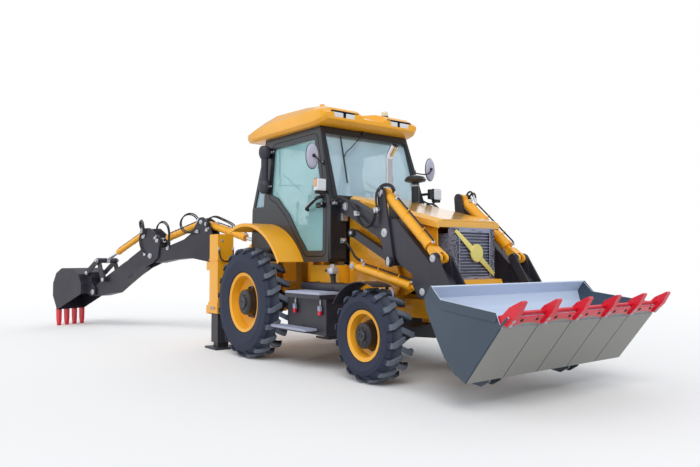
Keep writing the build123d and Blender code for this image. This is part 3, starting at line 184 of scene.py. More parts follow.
class NodeGroups:
    """Shader node groups that several finishes share, built once."""

    def __init__(self) -> None:
        self.wear = self._build_wear()
        self.grain = self._build_grain()

    @staticmethod
    def _group(name: str, inputs: Sequence[tuple[str, str, object]],
               outputs: Sequence[tuple[str, str]]) -> tuple[bpy.types.NodeTree, bpy.types.Node, bpy.types.Node]:
        """Makes an empty group with its sockets.

        Args:
            name: The group's name.
            inputs: Name, socket type and default of each input.
            outputs: Name and socket type of each output.

        Returns:
            The tree and its input and output nodes.
        """
        tree = bpy.data.node_groups.new(name, "ShaderNodeTree")
        for label, kind, default in inputs:
            socket = tree.interface.new_socket(name=label, in_out="INPUT", socket_type=kind)
            socket.default_value = default
        for label, kind in outputs:
            tree.interface.new_socket(name=label, in_out="OUTPUT", socket_type=kind)
        return tree, tree.nodes.new("NodeGroupInput"), tree.nodes.new("NodeGroupOutput")

    def _build_wear(self) -> bpy.types.NodeTree:
        """Colour that varies softly, with dust low down and in patches, and small chips."""
        colour, number = "NodeSocketColor", "NodeSocketFloat"
        tree, inlet, outlet = self._group(
            "dust_and_wear",
            [("Paint", colour, (0.5, 0.5, 0.5, 1.0)), ("Dust", colour, (0.4, 0.36, 0.3, 1.0)),
             ("Chip", colour, (0.2, 0.2, 0.2, 1.0)), ("Dust Amount", number, 0.2),
             ("Chip Amount", number, 0.1), ("Shade", number, 0.12)],
            [("Color", colour), ("Mask", number)])
        graph, given = Graph(tree), inlet.outputs
        place = graph.place()
        broad = graph.add("ShaderNodeTexNoise", {"Vector": place, "Scale": 2.2, "Detail": 5.0}).outputs["Fac"]
        fine = graph.add("ShaderNodeTexNoise", {"Vector": place, "Scale": 38.0, "Detail": 6.0,
                                                "Roughness": 0.7}).outputs["Fac"]
        height = graph.add("ShaderNodeSeparateXYZ", {0: place}).outputs["Z"]
        settled = graph.maths("ADD", graph.span(height, 1.1, 0.0), graph.span(broad, 0.42, 0.72))
        mask = graph.maths("MULTIPLY", settled, given["Dust Amount"], clamp=True)
        chipped = graph.maths("MULTIPLY", graph.span(fine, 0.66, 0.72), given["Chip Amount"], clamp=True)
        shade = graph.maths("MULTIPLY_ADD", graph.maths("SUBTRACT", broad, 0.5), given["Shade"], 1.0)
        tint = graph.add("ShaderNodeVectorMath", {0: given["Paint"]}, operation="SCALE")
        graph.put(tint, {"Scale": shade})
        dusty = graph.mix(mask, tint.outputs[0], given["Dust"])
        graph.put(outlet, {"Color": graph.mix(chipped, dusty, given["Chip"]), "Mask": mask})
        return tree

    def _build_grain(self) -> bpy.types.NodeTree:
        """Fine unevenness, such as the skin of sprayed paint or moulded rubber."""
        number = "NodeSocketFloat"
        tree, inlet, outlet = self._group("fine_grain", [("Scale", number, 120.0), ("Strength", number, 0.2)],
                                          [("Height", number), ("Roughness", number)])
        graph, given = Graph(tree), inlet.outputs
        noise = graph.add("ShaderNodeTexNoise", {"Vector": graph.place(), "Scale": given["Scale"],
                                                 "Detail": 3.0}).outputs["Fac"]
        rough = graph.add("ShaderNodeMapRange", {"Value": noise, "To Min": -0.08, "To Max": 0.08})
        graph.put(outlet, {"Height": graph.maths("MULTIPLY", noise, given["Strength"]),
                           "Roughness": rough.outputs["Result"]})
        return tree


@dataclass(frozen=True)
class Finish:
    """A painted, moulded or cast surface.

    Attributes:
        name: The material's name.
        slot: The record's slot that it belongs to. Not used.
        colour: Its main colour, in linear light.
        roughness: Mean roughness.
        metallic: How metallic it is.
        coat: Weight of a clear coat.
        dust: How much dust lies on it.
        chips: How many chips show.
        shade: How much the colour varies over it.
        grain: Scale of its fine unevenness.
        bump: Depth of that unevenness in metres.
        dust_colour: The dust's colour.
        chip_colour: What shows where it is chipped.
    """

    name: str
    slot: Slot
    colour: Colour
    roughness: float = 0.45
    metallic: float = 0.0
    coat: float = 0.0
    dust: float = 0.12
    chips: float = 0.1
    shade: float = 0.25
    grain: float = 90.0
    bump: float = 0.0006
    dust_colour: Colour = (0.30, 0.29, 0.28)
    chip_colour: Colour = (0.12, 0.11, 0.10)

    def build(self, groups: NodeGroups) -> bpy.types.Material:
        """Makes the material.

        Args:
            groups: The shared node groups.

        Returns:
            The finished material.
        """
        material, graph, shader = new_material(self.name)
        wear = graph.add("ShaderNodeGroup", node_tree=groups.wear)
        graph.put(wear, {"Paint": rgba(self.colour), "Dust": rgba(self.dust_colour), "Chip": rgba(self.chip_colour),
                         "Dust Amount": self.dust, "Chip Amount": self.chips, "Shade": self.shade})
        grain = graph.add("ShaderNodeGroup", node_tree=groups.grain)
        graph.put(grain, {"Scale": self.grain, "Strength": 1.0})
        rough = graph.maths("ADD", grain.outputs["Roughness"], self.roughness, clamp=True)
        dusty = graph.maths("MULTIPLY_ADD", wear.outputs["Mask"], 0.35, rough, clamp=True)
        bump = graph.add("ShaderNodeBump", {"Strength": 0.5, "Distance": self.bump,
                                            "Height": grain.outputs["Height"]})
        graph.put(shader, {"Metallic": self.metallic, "Coat Weight": self.coat, "Coat Roughness": 0.12,
                           "Base Color": self._colour(graph, wear), "Roughness": dusty,
                           "Normal": bump.outputs["Normal"]})
        return material

    def _colour(self, graph: Graph, wear: bpy.types.Node) -> Socket:
        """The socket that the base colour comes from."""
        return wear.outputs["Color"]


@dataclass(frozen=True)
class HubFinish(Finish):
    """A painted wheel whose hub has another colour.

    Attributes:
        centre: X and Z of the wheel's middle.
        hub_radius: Where the hub's colour ends.
        hub_colour: The hub's colour.
    """

    centre: tuple[float, float] = (0.0, 0.706)
    hub_radius: float = 0.16
    hub_colour: Colour = (0.012, 0.012, 0.016)

    def _colour(self, graph: Graph, wear: bpy.types.Node) -> Socket:
        """Mixes in the hub's colour near the axle."""
        beside = graph.add("ShaderNodeMapping", {"Vector": graph.place(), "Scale": (1.0, 0.0, 1.0),
                                                 "Location": (-self.centre[0], 0.0, -self.centre[1])})
        share = self._share(graph, graph.length(beside.outputs["Vector"]))
        return graph.mix(share, wear.outputs["Color"], rgba(self.hub_colour))

    def _share(self, graph: Graph, length: Socket) -> Socket:
        """How much of the hub's colour shows at a distance from the axle."""
        return graph.maths("LESS_THAN", length, self.hub_radius)


@dataclass(frozen=True)
class TyreFinish(HubFinish):
    """Rubber whose tread is paler than its walls.

    Attributes:
        fade: How quickly the walls' colour gives way to the tread's, for each metre.
    """

    fade: float = 50.0

    def _share(self, graph: Graph, length: Socket) -> Socket:
        """The walls' colour within the tread's radius, with a soft edge."""
        return graph.maths("MULTIPLY_ADD", length, -self.fade, self.fade * self.hub_radius + 0.5, clamp=True)


@dataclass(frozen=True)
class BucketFinish(Finish):
    """The loading bucket: dark cheeks and back, a pale inside and a grey underside; the inside's pale bluish colour
    is painted sky light.

    Attributes:
        inside: Colour of the faces that hold the load, a painted highlight: the sky's light on them painted into a
            pale bluish colour.
        under: Colour of the floor's underside.
        cheek: Distance from the middle past which the cheeks' outer faces lie.
    """

    # Painted sky light: the pale bluish inside stands in for the light that falls into the bucket, made paler to make
    # up for the shade it takes.
    inside: Colour = linear(0.84, 0.90, 0.98)
    under: Colour = linear(0.60, 0.60, 0.58)
    cheek: float = 1.153

    def _colour(self, graph: Graph, wear: bpy.types.Node) -> Socket:
        """Chooses the colour by where the face is and which way it points."""
        where = graph.add("ShaderNodeTexCoord").outputs
        way = graph.add("ShaderNodeSeparateXYZ", {0: where["Normal"]}).outputs
        place = graph.add("ShaderNodeSeparateXYZ", {0: where["Object"]}).outputs

        def over(socket: Socket, least: float) -> Socket:
            """1 where a value is over a limit."""
            return graph.maths("GREATER_THAN", socket, least)

        def under(socket: Socket, most: float) -> Socket:
            """1 where a value is under a limit."""
            return graph.maths("LESS_THAN", socket, most)

        def all_of(first: Socket, *others: Socket) -> Socket:
            """1 where every mask is 1."""
            for other in others:
                first = graph.maths("MULTIPLY", first, other)
            return first

        within = under(graph.maths("ABSOLUTE", place["Y"]), self.cheek)
        # Faces inside the bucket that point forward or up take the painted sky light.
        facing_in = graph.maths("MAXIMUM", over(way["X"], 0.05), over(way["Z"], 0.3))
        sky_lit_inside = all_of(within, facing_in, over(place["Z"], 0.125))
        beneath = all_of(within, under(way["Z"], -0.25), over(way["X"], 0.2), under(place["Z"], 0.80))
        return graph.mix(beneath, graph.mix(sky_lit_inside, wear.outputs["Color"], rgba(self.inside)), rgba(self.under))


@dataclass(frozen=True)
class GlassFinish:
    """Clear or tinted glass.

    Attributes:
        name: The material's name.
        slot: The record's slot that it belongs to. Not used.
        tint: Colour of what shows through.
        alpha: How much of it hides what is behind.
        band: Height above which it is tinted darker.
    """

    name: str
    slot: Slot
    tint: Colour
    alpha: float = 0.45
    band: float = 2.74

    def build(self, groups: NodeGroups) -> bpy.types.Material:
        """Makes the material."""
        material, graph, shader = new_material(self.name)
        height = graph.add("ShaderNodeSeparateXYZ", {0: graph.place()}).outputs["Z"]
        dark = rgba(tuple(0.28 * c for c in self.tint))
        tint = graph.mix(graph.span(height, self.band - 0.01, self.band + 0.01), rgba(self.tint), dark)
        wear = graph.add("ShaderNodeGroup", node_tree=groups.wear)
        graph.put(wear, {"Paint": tint, "Dust": rgba((0.60, 0.66, 0.68)), "Dust Amount": 0.10, "Chip Amount": 0.0,
                         "Shade": 0.5})
        graph.put(shader, {"Roughness": 0.04, "Alpha": self.alpha, "Base Color": wear.outputs["Color"]})
        return material


@dataclass(frozen=True)
class SpeckleFinish(Finish):
    """A surface with many small spots, such as woven wire or blotched plating.

    Attributes:
        spot: Colour of the spots.
        scale: Number of spots in a metre along each axis.
        size: How large the spots are against their spacing.
    """

    spot: Colour = (0.5, 0.5, 0.55)
    scale: Point = (90.0, 90.0, 90.0)
    size: float = 0.42

    def _colour(self, graph: Graph, wear: bpy.types.Node) -> Socket:
        """Mixes in the spots."""
        stretch = graph.add("ShaderNodeMapping", {"Vector": graph.place(), "Scale": self.scale})
        cells = graph.add("ShaderNodeTexVoronoi", {"Scale": 1.0, "Vector": stretch.outputs["Vector"]})
        share = graph.span(cells.outputs["Distance"], self.size + 0.12, self.size - 0.12)
        return graph.mix(share, wear.outputs["Color"], rgba(self.spot))


YELLOW = linear(1.0, 0.705, 0.11)
DARK = linear(0.175, 0.17, 0.215)

FINISHES: dict[str, Finish | GlassFinish] = {
    "yellow": Finish("golden_yellow_paint", Slot.YELLOW, YELLOW, roughness=0.36, coat=0.4, dust=0.03, shade=0.35),
    # The bonnet's paler yellow under a full coat is a painted highlight: the sky's glare on its top, painted over the
    # whole bonnet.
    "bonnet": Finish("sunlit_yellow_paint", Slot.YELLOW, linear(1.0, 0.75, 0.30), roughness=0.25, coat=1.0, dust=0.02,
                     shade=0.25),
    "wheel_rear": HubFinish("rear_wheel_paint", Slot.YELLOW, YELLOW, roughness=0.4, coat=0.2, dust=0.05,
                            centre=(0.0, 0.706), hub_radius=0.185),
    "wheel_front": HubFinish("front_wheel_paint", Slot.YELLOW, YELLOW, roughness=0.4, coat=0.2, dust=0.05,
                             centre=(2.267, 0.482), hub_radius=0.152),
    "dark": Finish("charcoal_paint", Slot.DARK, DARK, roughness=0.42, coat=0.12, dust=0.03, shade=0.7),
    "bucket": BucketFinish("bucket_paint", Slot.SLATE, linear(0.25, 0.31, 0.37), roughness=0.42, dust=0.03,
                           shade=0.3),
    "red": Finish("tooth_red_paint", Slot.RED, linear(0.90, 0.08, 0.19), roughness=0.36, coat=0.4, dust=0.01,
                  shade=0.4),
    "black": Finish("black_paint", Slot.BLACK, linear(0.105, 0.125, 0.16), roughness=0.38, coat=0.2, dust=0.02),
    "chrome": Finish("hard_chrome", Slot.CHROME, (0.72, 0.73, 0.75), roughness=0.16, metallic=1.0, dust=0.03,
                     chips=0.0, shade=0.1, bump=0.0001),
    "tyre_rear": TyreFinish("rear_tyre_rubber", Slot.TYRE, linear(0.40, 0.44, 0.50), roughness=0.72, dust=0.12,
                            chips=0.05, shade=0.6, bump=0.0012, grain=60.0, centre=(0.0, 0.706), hub_radius=0.672,
                            hub_colour=linear(0.175, 0.20, 0.28)),
    "tyre_front": TyreFinish("front_tyre_rubber", Slot.TYRE, linear(0.40, 0.44, 0.50), roughness=0.72, dust=0.12,
                             chips=0.05, shade=0.6, bump=0.0012, grain=60.0, centre=(2.267, 0.482), hub_radius=0.452,
                             hub_colour=linear(0.175, 0.20, 0.28)),
    "lamp": Finish("lamp_white_plastic", Slot.LAMP, linear(0.86, 0.86, 0.84), roughness=0.2, coat=0.4, dust=0.02,
                   chips=0.0),
    "seat": Finish("seat_plastic", Slot.SEAT, linear(0.13, 0.13, 0.15), roughness=0.7, dust=0.04, chips=0.0),
    "zinc": Finish("zinc_plate", Slot.CHROME, linear(0.80, 0.80, 0.83), roughness=0.34, metallic=0.55, dust=0.05,
                   chips=0.05, shade=0.4),
    "hub": Finish("hub_black_paint", Slot.BLACK, linear(0.14, 0.15, 0.19), roughness=0.4, coat=0.2, dust=0.1),
    "lens": Finish("clear_lens_plastic", Slot.LAMP, linear(0.90, 0.92, 0.94), roughness=0.12, coat=0.6, dust=0.02,
                   chips=0.0, shade=0.1),
    "amber": Finish("amber_plastic", Slot.LAMP, linear(0.95, 0.66, 0.46), roughness=0.2, coat=0.5, dust=0.02,
                    chips=0.0),
    "cream": Finish("cream_plastic", Slot.LAMP, linear(0.93, 0.90, 0.78), roughness=0.3, coat=0.3, dust=0.02,
                    chips=0.0),
    "shell": Finish("pale_shell_plastic", Slot.LAMP, linear(0.74, 0.74, 0.82), roughness=0.35, coat=0.2, dust=0.03,
                    chips=0.0, shade=0.2),
    "shell_rim": Finish("dark_rim_plastic", Slot.BLACK, linear(0.22, 0.22, 0.27), roughness=0.5, dust=0.04,
                        chips=0.0),
    "mirror": Finish("mirror_silver", Slot.CHROME, (0.82, 0.84, 0.86), roughness=0.03, metallic=1.0, dust=0.01,
                     chips=0.0, shade=0.0, bump=0.00001),
    "maroon": Finish("maroon_plastic", Slot.RED, linear(0.34, 0.10, 0.12), roughness=0.5, dust=0.03, chips=0.0),
    "rubber": Finish("black_rubber", Slot.BLACK, linear(0.10, 0.10, 0.125), roughness=0.58, dust=0.08, chips=0.0),
    "hose": Finish("hose_rubber", Slot.BLACK, linear(0.115, 0.12, 0.14), roughness=0.5, dust=0.12, chips=0.0,
                   grain=240.0, bump=0.0004),
    "mesh": SpeckleFinish("speckled_mesh_metal", Slot.DARK, linear(0.17, 0.17, 0.23), roughness=0.45, dust=0.02,
                          chips=0.0, spot=linear(0.66, 0.67, 0.74), scale=(75.0, 75.0, 75.0), size=0.40),
    "slats": SpeckleFinish("blotched_silver_paint", Slot.DARK, linear(0.60, 0.62, 0.70), roughness=0.36, metallic=0.2,
                           dust=0.02, chips=0.0, shade=0.9, spot=linear(0.45, 0.46, 0.55), scale=(20.0, 9.0, 46.0),
                           size=0.38),
    "backing": Finish("grille_backing_paint", Slot.DARK, linear(0.38, 0.39, 0.46), roughness=0.5, dust=0.02,
                      shade=0.9),
    "strip": Finish("pale_yellow_paint", Slot.YELLOW, linear(0.95, 0.90, 0.50), roughness=0.35, coat=0.3, dust=0.03),
    "tread": Finish("pale_tread_paint", Slot.DARK, linear(0.70, 0.72, 0.81), roughness=0.5, dust=0.14, shade=0.5,
                    grain=70.0, bump=0.0015),
    "fabric": SpeckleFinish("woven_seat_fabric", Slot.SEAT, linear(0.13, 0.13, 0.16), roughness=0.85, dust=0.03,
                            chips=0.0, grain=420.0, bump=0.0012, spot=linear(0.19, 0.19, 0.24),
                            scale=(260.0, 260.0, 260.0), size=0.36),
    "glass": GlassFinish("pale_blue_glass", Slot.GLASS, linear(0.80, 0.93, 0.99), alpha=0.50),
    "door_glass": GlassFinish("pale_teal_glass", Slot.GLASS, linear(0.72, 0.96, 0.98), alpha=0.34, band=2.72),
}

NODE_FINISH: dict[str, tuple[str, ...]] = {
    "bonnet": ("bonnet",),
    "yellow": ("side_panels", "rear_frame", "kingpost", "lift_barrels", "lift_rods", "tilt_barrels",
               "tilt_rods", "boom_barrel", "dipper_barrel", "dig_barrel", "cab_roof", "rear_fenders",
               "chassis_frame"),
    "wheel_rear": ("rim_rear_left", "rim_rear_right"),
    "wheel_front": ("rim_front_left", "rim_front_right"),
    "dark": ("loader_arms", "level_links", "tilt_levers", "front_levers", "bucket_links", "front_lever_pins",
             "link_pins", "bucket_pins", "boom", "dipper", "dig_levers", "dig_link", "dig_bucket", "knuckle_left",
             "knuckle_right", "stabiliser_left", "stabiliser_right", "steps"),
    "bucket": ("loader_bucket",),
    "red": ("loader_teeth", "dig_teeth"),
    "slats": ("grille",),
    "black": ("cab_frame", "door_left", "door_right", "air_cleaner", "mirrors", "engine_block", "axles"),
    "chrome": ("boom_rod", "dipper_rod", "dig_rod", "exhaust"),
    "tyre_rear": ("tyre_rear_left", "tyre_rear_right"),
    "tyre_front": ("tyre_front_left", "tyre_front_right"),
    "lamp": ("lamps",),
    "seat": ("driver_place",),
    "glass": ("cab_glass",),
    "door_glass": ("door_glass_left", "door_glass_right"),
}


@dataclass
class Paintshop:
    """Builds the finishes once and puts them on pieces.

    Attributes:
        groups: The shared shader node groups.
        made: Materials made so far, by key.
    """

    groups: NodeGroups
    made: dict[str, bpy.types.Material] = field(default_factory=dict)

    def material(self, key: str) -> bpy.types.Material:
        """The material of a finish, made at its first use."""
        if key not in self.made:
            self.made[key] = FINISHES[key].build(self.groups)
        return self.made[key]

    def dress(self, piece: Piece, key: str) -> None:
        """Puts one finish all over a piece."""
        piece.data.materials.clear()
        piece.data.materials.append(self.material(key))

    def dress_nodes(self, nodes: dict[str, Piece]) -> None:
        """Dresses every piece of the frame."""
        for key, names in NODE_FINISH.items():
            for name in names:
                self.dress(nodes[name], key)
        LOG.info("dressed %d pieces of the frame", sum(len(names) for names in NODE_FINISH.values()))


def deselect() -> None:
    """Leaves object mode with nothing selected."""
    if bpy.context.object and bpy.context.object.mode != "OBJECT":
        bpy.ops.object.mode_set(mode="OBJECT")
    bpy.ops.object.select_all(action="DESELECT")


def hold(piece: Piece) -> None:
    """Makes a piece the only selected and active one."""
    deselect()
    piece.select_set(True)
    bpy.context.view_layer.objects.active = piece


def settle(piece: Piece) -> Piece:
    """Moves a piece's place, turn and size into its mesh."""
    hold(piece)
    bpy.ops.object.transform_apply(location=True, rotation=True, scale=True)
    return piece


def pick(piece: Piece, test: FaceTest) -> None:
    """Opens a piece in edit mode with only some faces selected.

    Args:
        piece: The piece.
        test: Takes a face's middle and normal, and says whether it is selected.
    """
    hold(piece)
    bpy.ops.object.mode_set(mode="EDIT")
    bpy.ops.mesh.select_mode(type="FACE")
    bpy.ops.mesh.select_all(action="DESELECT")
    shape = bmesh.from_edit_mesh(piece.data)
    for face in [face for face in shape.faces if test(face.calc_center_median(), face.normal)]:
        face.select_set(True)
    bmesh.update_edit_mesh(piece.data)


def inset(piece: Piece, test: FaceTest, thickness: float, depth: float = 0.0) -> Piece:
    """Insets the chosen faces as one region, then moves them along their normal.

    Args:
        piece: The piece.
        test: Chooses the faces.
        thickness: Width of the rim that is left.
        depth: How far the inner faces move out, or in if negative.

    Returns:
        The piece.
    """
    pick(piece, test)
    bpy.ops.mesh.inset(thickness=thickness, depth=depth)
    bpy.ops.object.mode_set(mode="OBJECT")
    return piece


def draw_out(piece: Piece, test: FaceTest, move: Point, scale: Point = (1.0, 1.0, 1.0),
             about: Point = ORIGIN) -> Piece:
    """Extrudes the chosen faces, moves the new ones and scales them about a point.

    Args:
        piece: The piece.
        test: Chooses the faces.
        move: How far the new faces go.
        scale: Their scale along each axis.
        about: The point that they are scaled about.

    Returns:
        The piece.
    """
    pick(piece, test)
    bpy.ops.mesh.extrude_region_move(TRANSFORM_OT_translate={"value": move})
    bpy.ops.transform.resize(value=scale, center_override=about)
    bpy.ops.object.mode_set(mode="OBJECT")
    return piece


def turned(profile: Sequence[tuple[float, float]], place: Point, axis: Point, sides: int = 32) -> Piece:
    """A round piece: a cone whose end is drawn out, ring by ring, along its axis.

    Args:
        profile: Radius and height of each ring, from the base up.
        place: Where the base's middle is.
        axis: Direction of its height.
        sides: Number of faces round it.

    Returns:
        The piece, with its place in its mesh.
    """
    deselect()
    (first, low), (second, high) = profile[0], profile[1]
    bpy.ops.mesh.primitive_cone_add(vertices=sides, radius1=first, radius2=second, depth=high - low,
                                    location=(0.0, 0.0, (low + high) / 2))
    piece = settle(bpy.context.object)
    pick(piece, facing(UP))
    for (radius, height), (next_radius, next_height) in zip(profile[1:], profile[2:]):
        share = next_radius / radius
        bpy.ops.mesh.extrude_region_move(TRANSFORM_OT_translate={"value": (0.0, 0.0, next_height - height)})
        bpy.ops.transform.resize(value=(share, share, 1.0), center_override=(0.0, 0.0, next_height))
    bpy.ops.object.mode_set(mode="OBJECT")
    piece.rotation_euler = Vector(axis).to_track_quat("Z", "Y").to_euler()
    piece.location = place
    return settle(piece)


def block(low: Point, high: Point, bevel: float = 0.0, segments: int = 2) -> Piece:
    """A block between two corners with rounded edges, to be shaped further.

    Args:
        low: Lowest corner.
        high: Highest corner.
        bevel: Width of the rounded edges.
        segments: Faces across each of them.

    Returns:
        The piece.
    """
    deselect()
    middle = [(a + b) / 2 for a, b in zip(low, high)]
    bpy.ops.mesh.primitive_cube_add(size=1.0, location=middle, scale=[b - a for a, b in zip(low, high)])
    piece = settle(bpy.context.object)
    return rounded(piece, bevel, segments) if bevel else piece


def rounded(piece: Piece, width: float, segments: int = 2, angle: float = 35.0) -> Piece:
    """Rounds a piece's edges with a bevel modifier that is applied.

    Args:
        piece: The piece.
        width: Width of the rounding.
        segments: Faces across it.
        angle: Edges sharper than this are rounded, in degrees.

    Returns:
        The piece.
    """
    hold(piece)
    bevel = piece.modifiers.new("edges", "BEVEL")
    bevel.width, bevel.segments, bevel.limit_method = width, segments, "ANGLE"
    bevel.angle_limit = math.radians(angle)
    bpy.ops.object.modifier_apply(modifier=bevel.name)
    return piece


def prism(outline: Sequence[tuple[float, float]], origin: Point, across: Point, up: Point,
          thick: float) -> Piece:
    """A flat piece: a filled circle whose corners go to an outline's, given its thickness.

    Args:
        outline: The corners in the plane, in order.
        origin: The plane's origin.
        across: Direction of the first coordinate.
        up: Direction of the second one.
        thick: Thickness, half on each side of the plane.

    Returns:
        The piece.
    """
    deselect()
    bpy.ops.mesh.primitive_circle_add(vertices=len(outline), radius=1.0, fill_type="NGON")
    piece = bpy.context.object
    ahead, above = Vector(across).normalized(), Vector(up).normalized()
    square = ahead.cross(above).normalized()
    for vertex, (a, b) in zip(piece.data.vertices, outline):
        vertex.co = Vector(origin) + ahead * a + above * b - square * thick / 2
    pick(piece, everywhere)
    bpy.ops.mesh.extrude_region_move(TRANSFORM_OT_translate={"value": square * thick})
    bpy.ops.mesh.select_all(action="SELECT")
    bpy.ops.mesh.normals_make_consistent(inside=False)
    bpy.ops.object.mode_set(mode="OBJECT")
    return piece


def hexed(place: Point, axis: Point, size: float, tall: float, washer: bool = True) -> Piece:
    """A bolt's head on its washer.

    Args:
        place: Middle of its base.
        axis: Direction that it points in.
        size: Radius over the hexagon's corners.
        tall: The head's height.
        washer: Whether a round washer lies under it.

    Returns:
        The piece.
    """
    head = turned([(size, 0.0), (size, tall * 0.8), (size * 0.86, tall), (size * 0.5, tall)], place, axis, 6)
    if not washer:
        return head
    ring = turned([(size * 1.35, -tall * 0.02), (size * 1.35, tall * 0.2), (size * 1.2, tall * 0.26)], place, axis,
                  16)
    return joined([head, ring])


def route(points: Sequence[Point]) -> Piece:
    """A smooth NURBS line with the points as its control points."""
    curve = bpy.data.curves.new("route", "CURVE")
    curve.dimensions, curve.resolution_u = "3D", 8
    spline = curve.splines.new("NURBS")
    spline.points.add(len(points) - 1)
    for knot, place in zip(spline.points, points):
        knot.co = (*place, 1.0)
    spline.order_u = 3
    spline.use_endpoint_u = True
    line = bpy.data.objects.new("route", curve)
    bpy.context.scene.collection.objects.link(line)
    return line


def tube(points: Sequence[Point], radius: float, sides: int = 2) -> Piece:
    """A bent pipe or hose as a mesh, along a smooth line.

    Args:
        points: The line's control points.
        radius: The pipe's radius.
        sides: Bevel resolution of the curve that it is made from.

    Returns:
        The piece.
    """
    line = route(points)
    line.data.bevel_depth, line.data.bevel_resolution, line.data.use_fill_caps = radius, sides, True
    hold(line)
    bpy.ops.object.convert(target="MESH")
    piece = bpy.context.object
    pick(piece, everywhere)
    bpy.ops.mesh.remove_doubles(threshold=MERGE)
    bpy.ops.mesh.normals_make_consistent(inside=False)
    bpy.ops.object.mode_set(mode="OBJECT")
    return piece


def centres(points: Sequence[Point]) -> list[Point]:
    """The points that a tube along these control points follows."""
    line = route(points)
    mesh = bpy.data.meshes.new_from_object(line)
    found = [tuple(vertex.co) for vertex in mesh.vertices]
    bpy.data.objects.remove(line)
    return found


def copied(piece: Piece, change: Matrix) -> Piece:
    """A copy with its own mesh, moved, turned, scaled or mirrored.

    Args:
        piece: The piece to copy.
        change: What happens to the copy.

    Returns:
        The copy.
    """
    twin = piece.copy()
    twin.data = piece.data.copy()
    bpy.context.scene.collection.objects.link(twin)
    twin.data.transform(change)
    if change.determinant() < 0:
        twin.data.flip_normals()
    return twin


def shifted(piece: Piece, move: Point) -> Piece:
    """A copy moved by a distance."""
    return copied(piece, Matrix.Translation(move))


def mirrored(piece: Piece) -> Piece:
    """A copy on the machine's other side."""
    return copied(piece, Matrix.Scale(-1.0, 4, LEFT))


def joined(parts: Sequence[Piece]) -> Piece:
    """Joins pieces into the first one."""
    deselect()
    for part in parts:
        part.select_set(True)
    bpy.context.view_layer.objects.active = parts[0]
    if len(parts) > 1:
        bpy.ops.object.join()
    return parts[0]


def painted(piece: Piece, material: bpy.types.Material, test: FaceTest) -> Piece:
    """Gives the chosen faces another material.

    Args:
        piece: The piece.
        material: The material.
        test: Chooses the faces.

    Returns:
        The piece.
    """
    piece.data.materials.append(material)
    index = len(piece.data.materials) - 1
    for face in piece.data.polygons:
        if test(face.center, face.normal):
            face.material_index = index
    return piece


def everywhere(middle: Vector, normal: Vector) -> bool:
    """Chooses every face."""
    return True


def facing(*ways: Point) -> FaceTest:
    """Chooses the faces that point one of these ways."""
    return lambda middle, normal: any(normal.dot(Vector(way)) > FLAT for way in ways)


def hoe_point(out: float, off: float, height: float) -> Point:
    """A point of the digging arm's plane in the row frame.

    Args:
        out: Distance out from the slewing axis.
        off: Distance from the arm's middle plane, to its left as seen looking out from behind.
        height: Height above the ground.

    Returns:
        The point.
    """
    return (KING_X - out * math.cos(SLEW) - off * math.sin(SLEW), off * math.cos(SLEW) - out * math.sin(SLEW), height)


def hoe_way(out: float, off: float, height: float) -> Point:
    """A direction in the digging arm's plane in the row frame."""
    return (-out * math.cos(SLEW) - off * math.sin(SLEW), off * math.cos(SLEW) - out * math.sin(SLEW), height)


@dataclass
class Assembly:
    """What every sub-assembly shares.

    Attributes:
        shop: Puts finishes on pieces.
    """

    shop: Paintshop

    def mount(self, piece: Piece, name: str, body: str, key: str, angle: float = 35.0) -> Piece:
        """Names, smooths, paints and mounts a piece.

        Args:
            piece: The piece.
            name: Its name.
            body: The body that it moves with.
            key: Its finish.
            angle: Edges sharper than this stay sharp, in degrees.

        Returns:
            The piece.
        """
        return self.fix(self.coat(piece, key), name, body, angle)

    def coat(self, piece: Piece, key: str) -> Piece:
        """Paints a piece all over with one finish."""
        self.shop.dress(piece, key)
        return piece

    def fix(self, piece: Piece, name: str, body: str, angle: float = 35.0) -> Piece:
        """Names, smooths and mounts a piece that is painted already."""
        hold(piece)
        bpy.ops.object.shade_smooth_by_angle(angle=math.radians(angle))
        piece.name = piece.data.name = name
        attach(piece, body)
        LOG.info("%s rides on %s, %d faces", name, body, len(piece.data.polygons))
        return piece

    def both(self, piece: Piece) -> Piece:
        """Joins a piece with its mirror image on the machine's other side."""
        return joined([piece, mirrored(piece)])

    def pair(self, right: Piece, name: str, body: str) -> None:
        """Fixes a piece on the right side's body and its mirror image on the left side's."""
        left = mirrored(right)
        self.fix(right, f"{name}_right", f"{body}_right")
        self.fix(left, f"{name}_left", f"{body}_left")


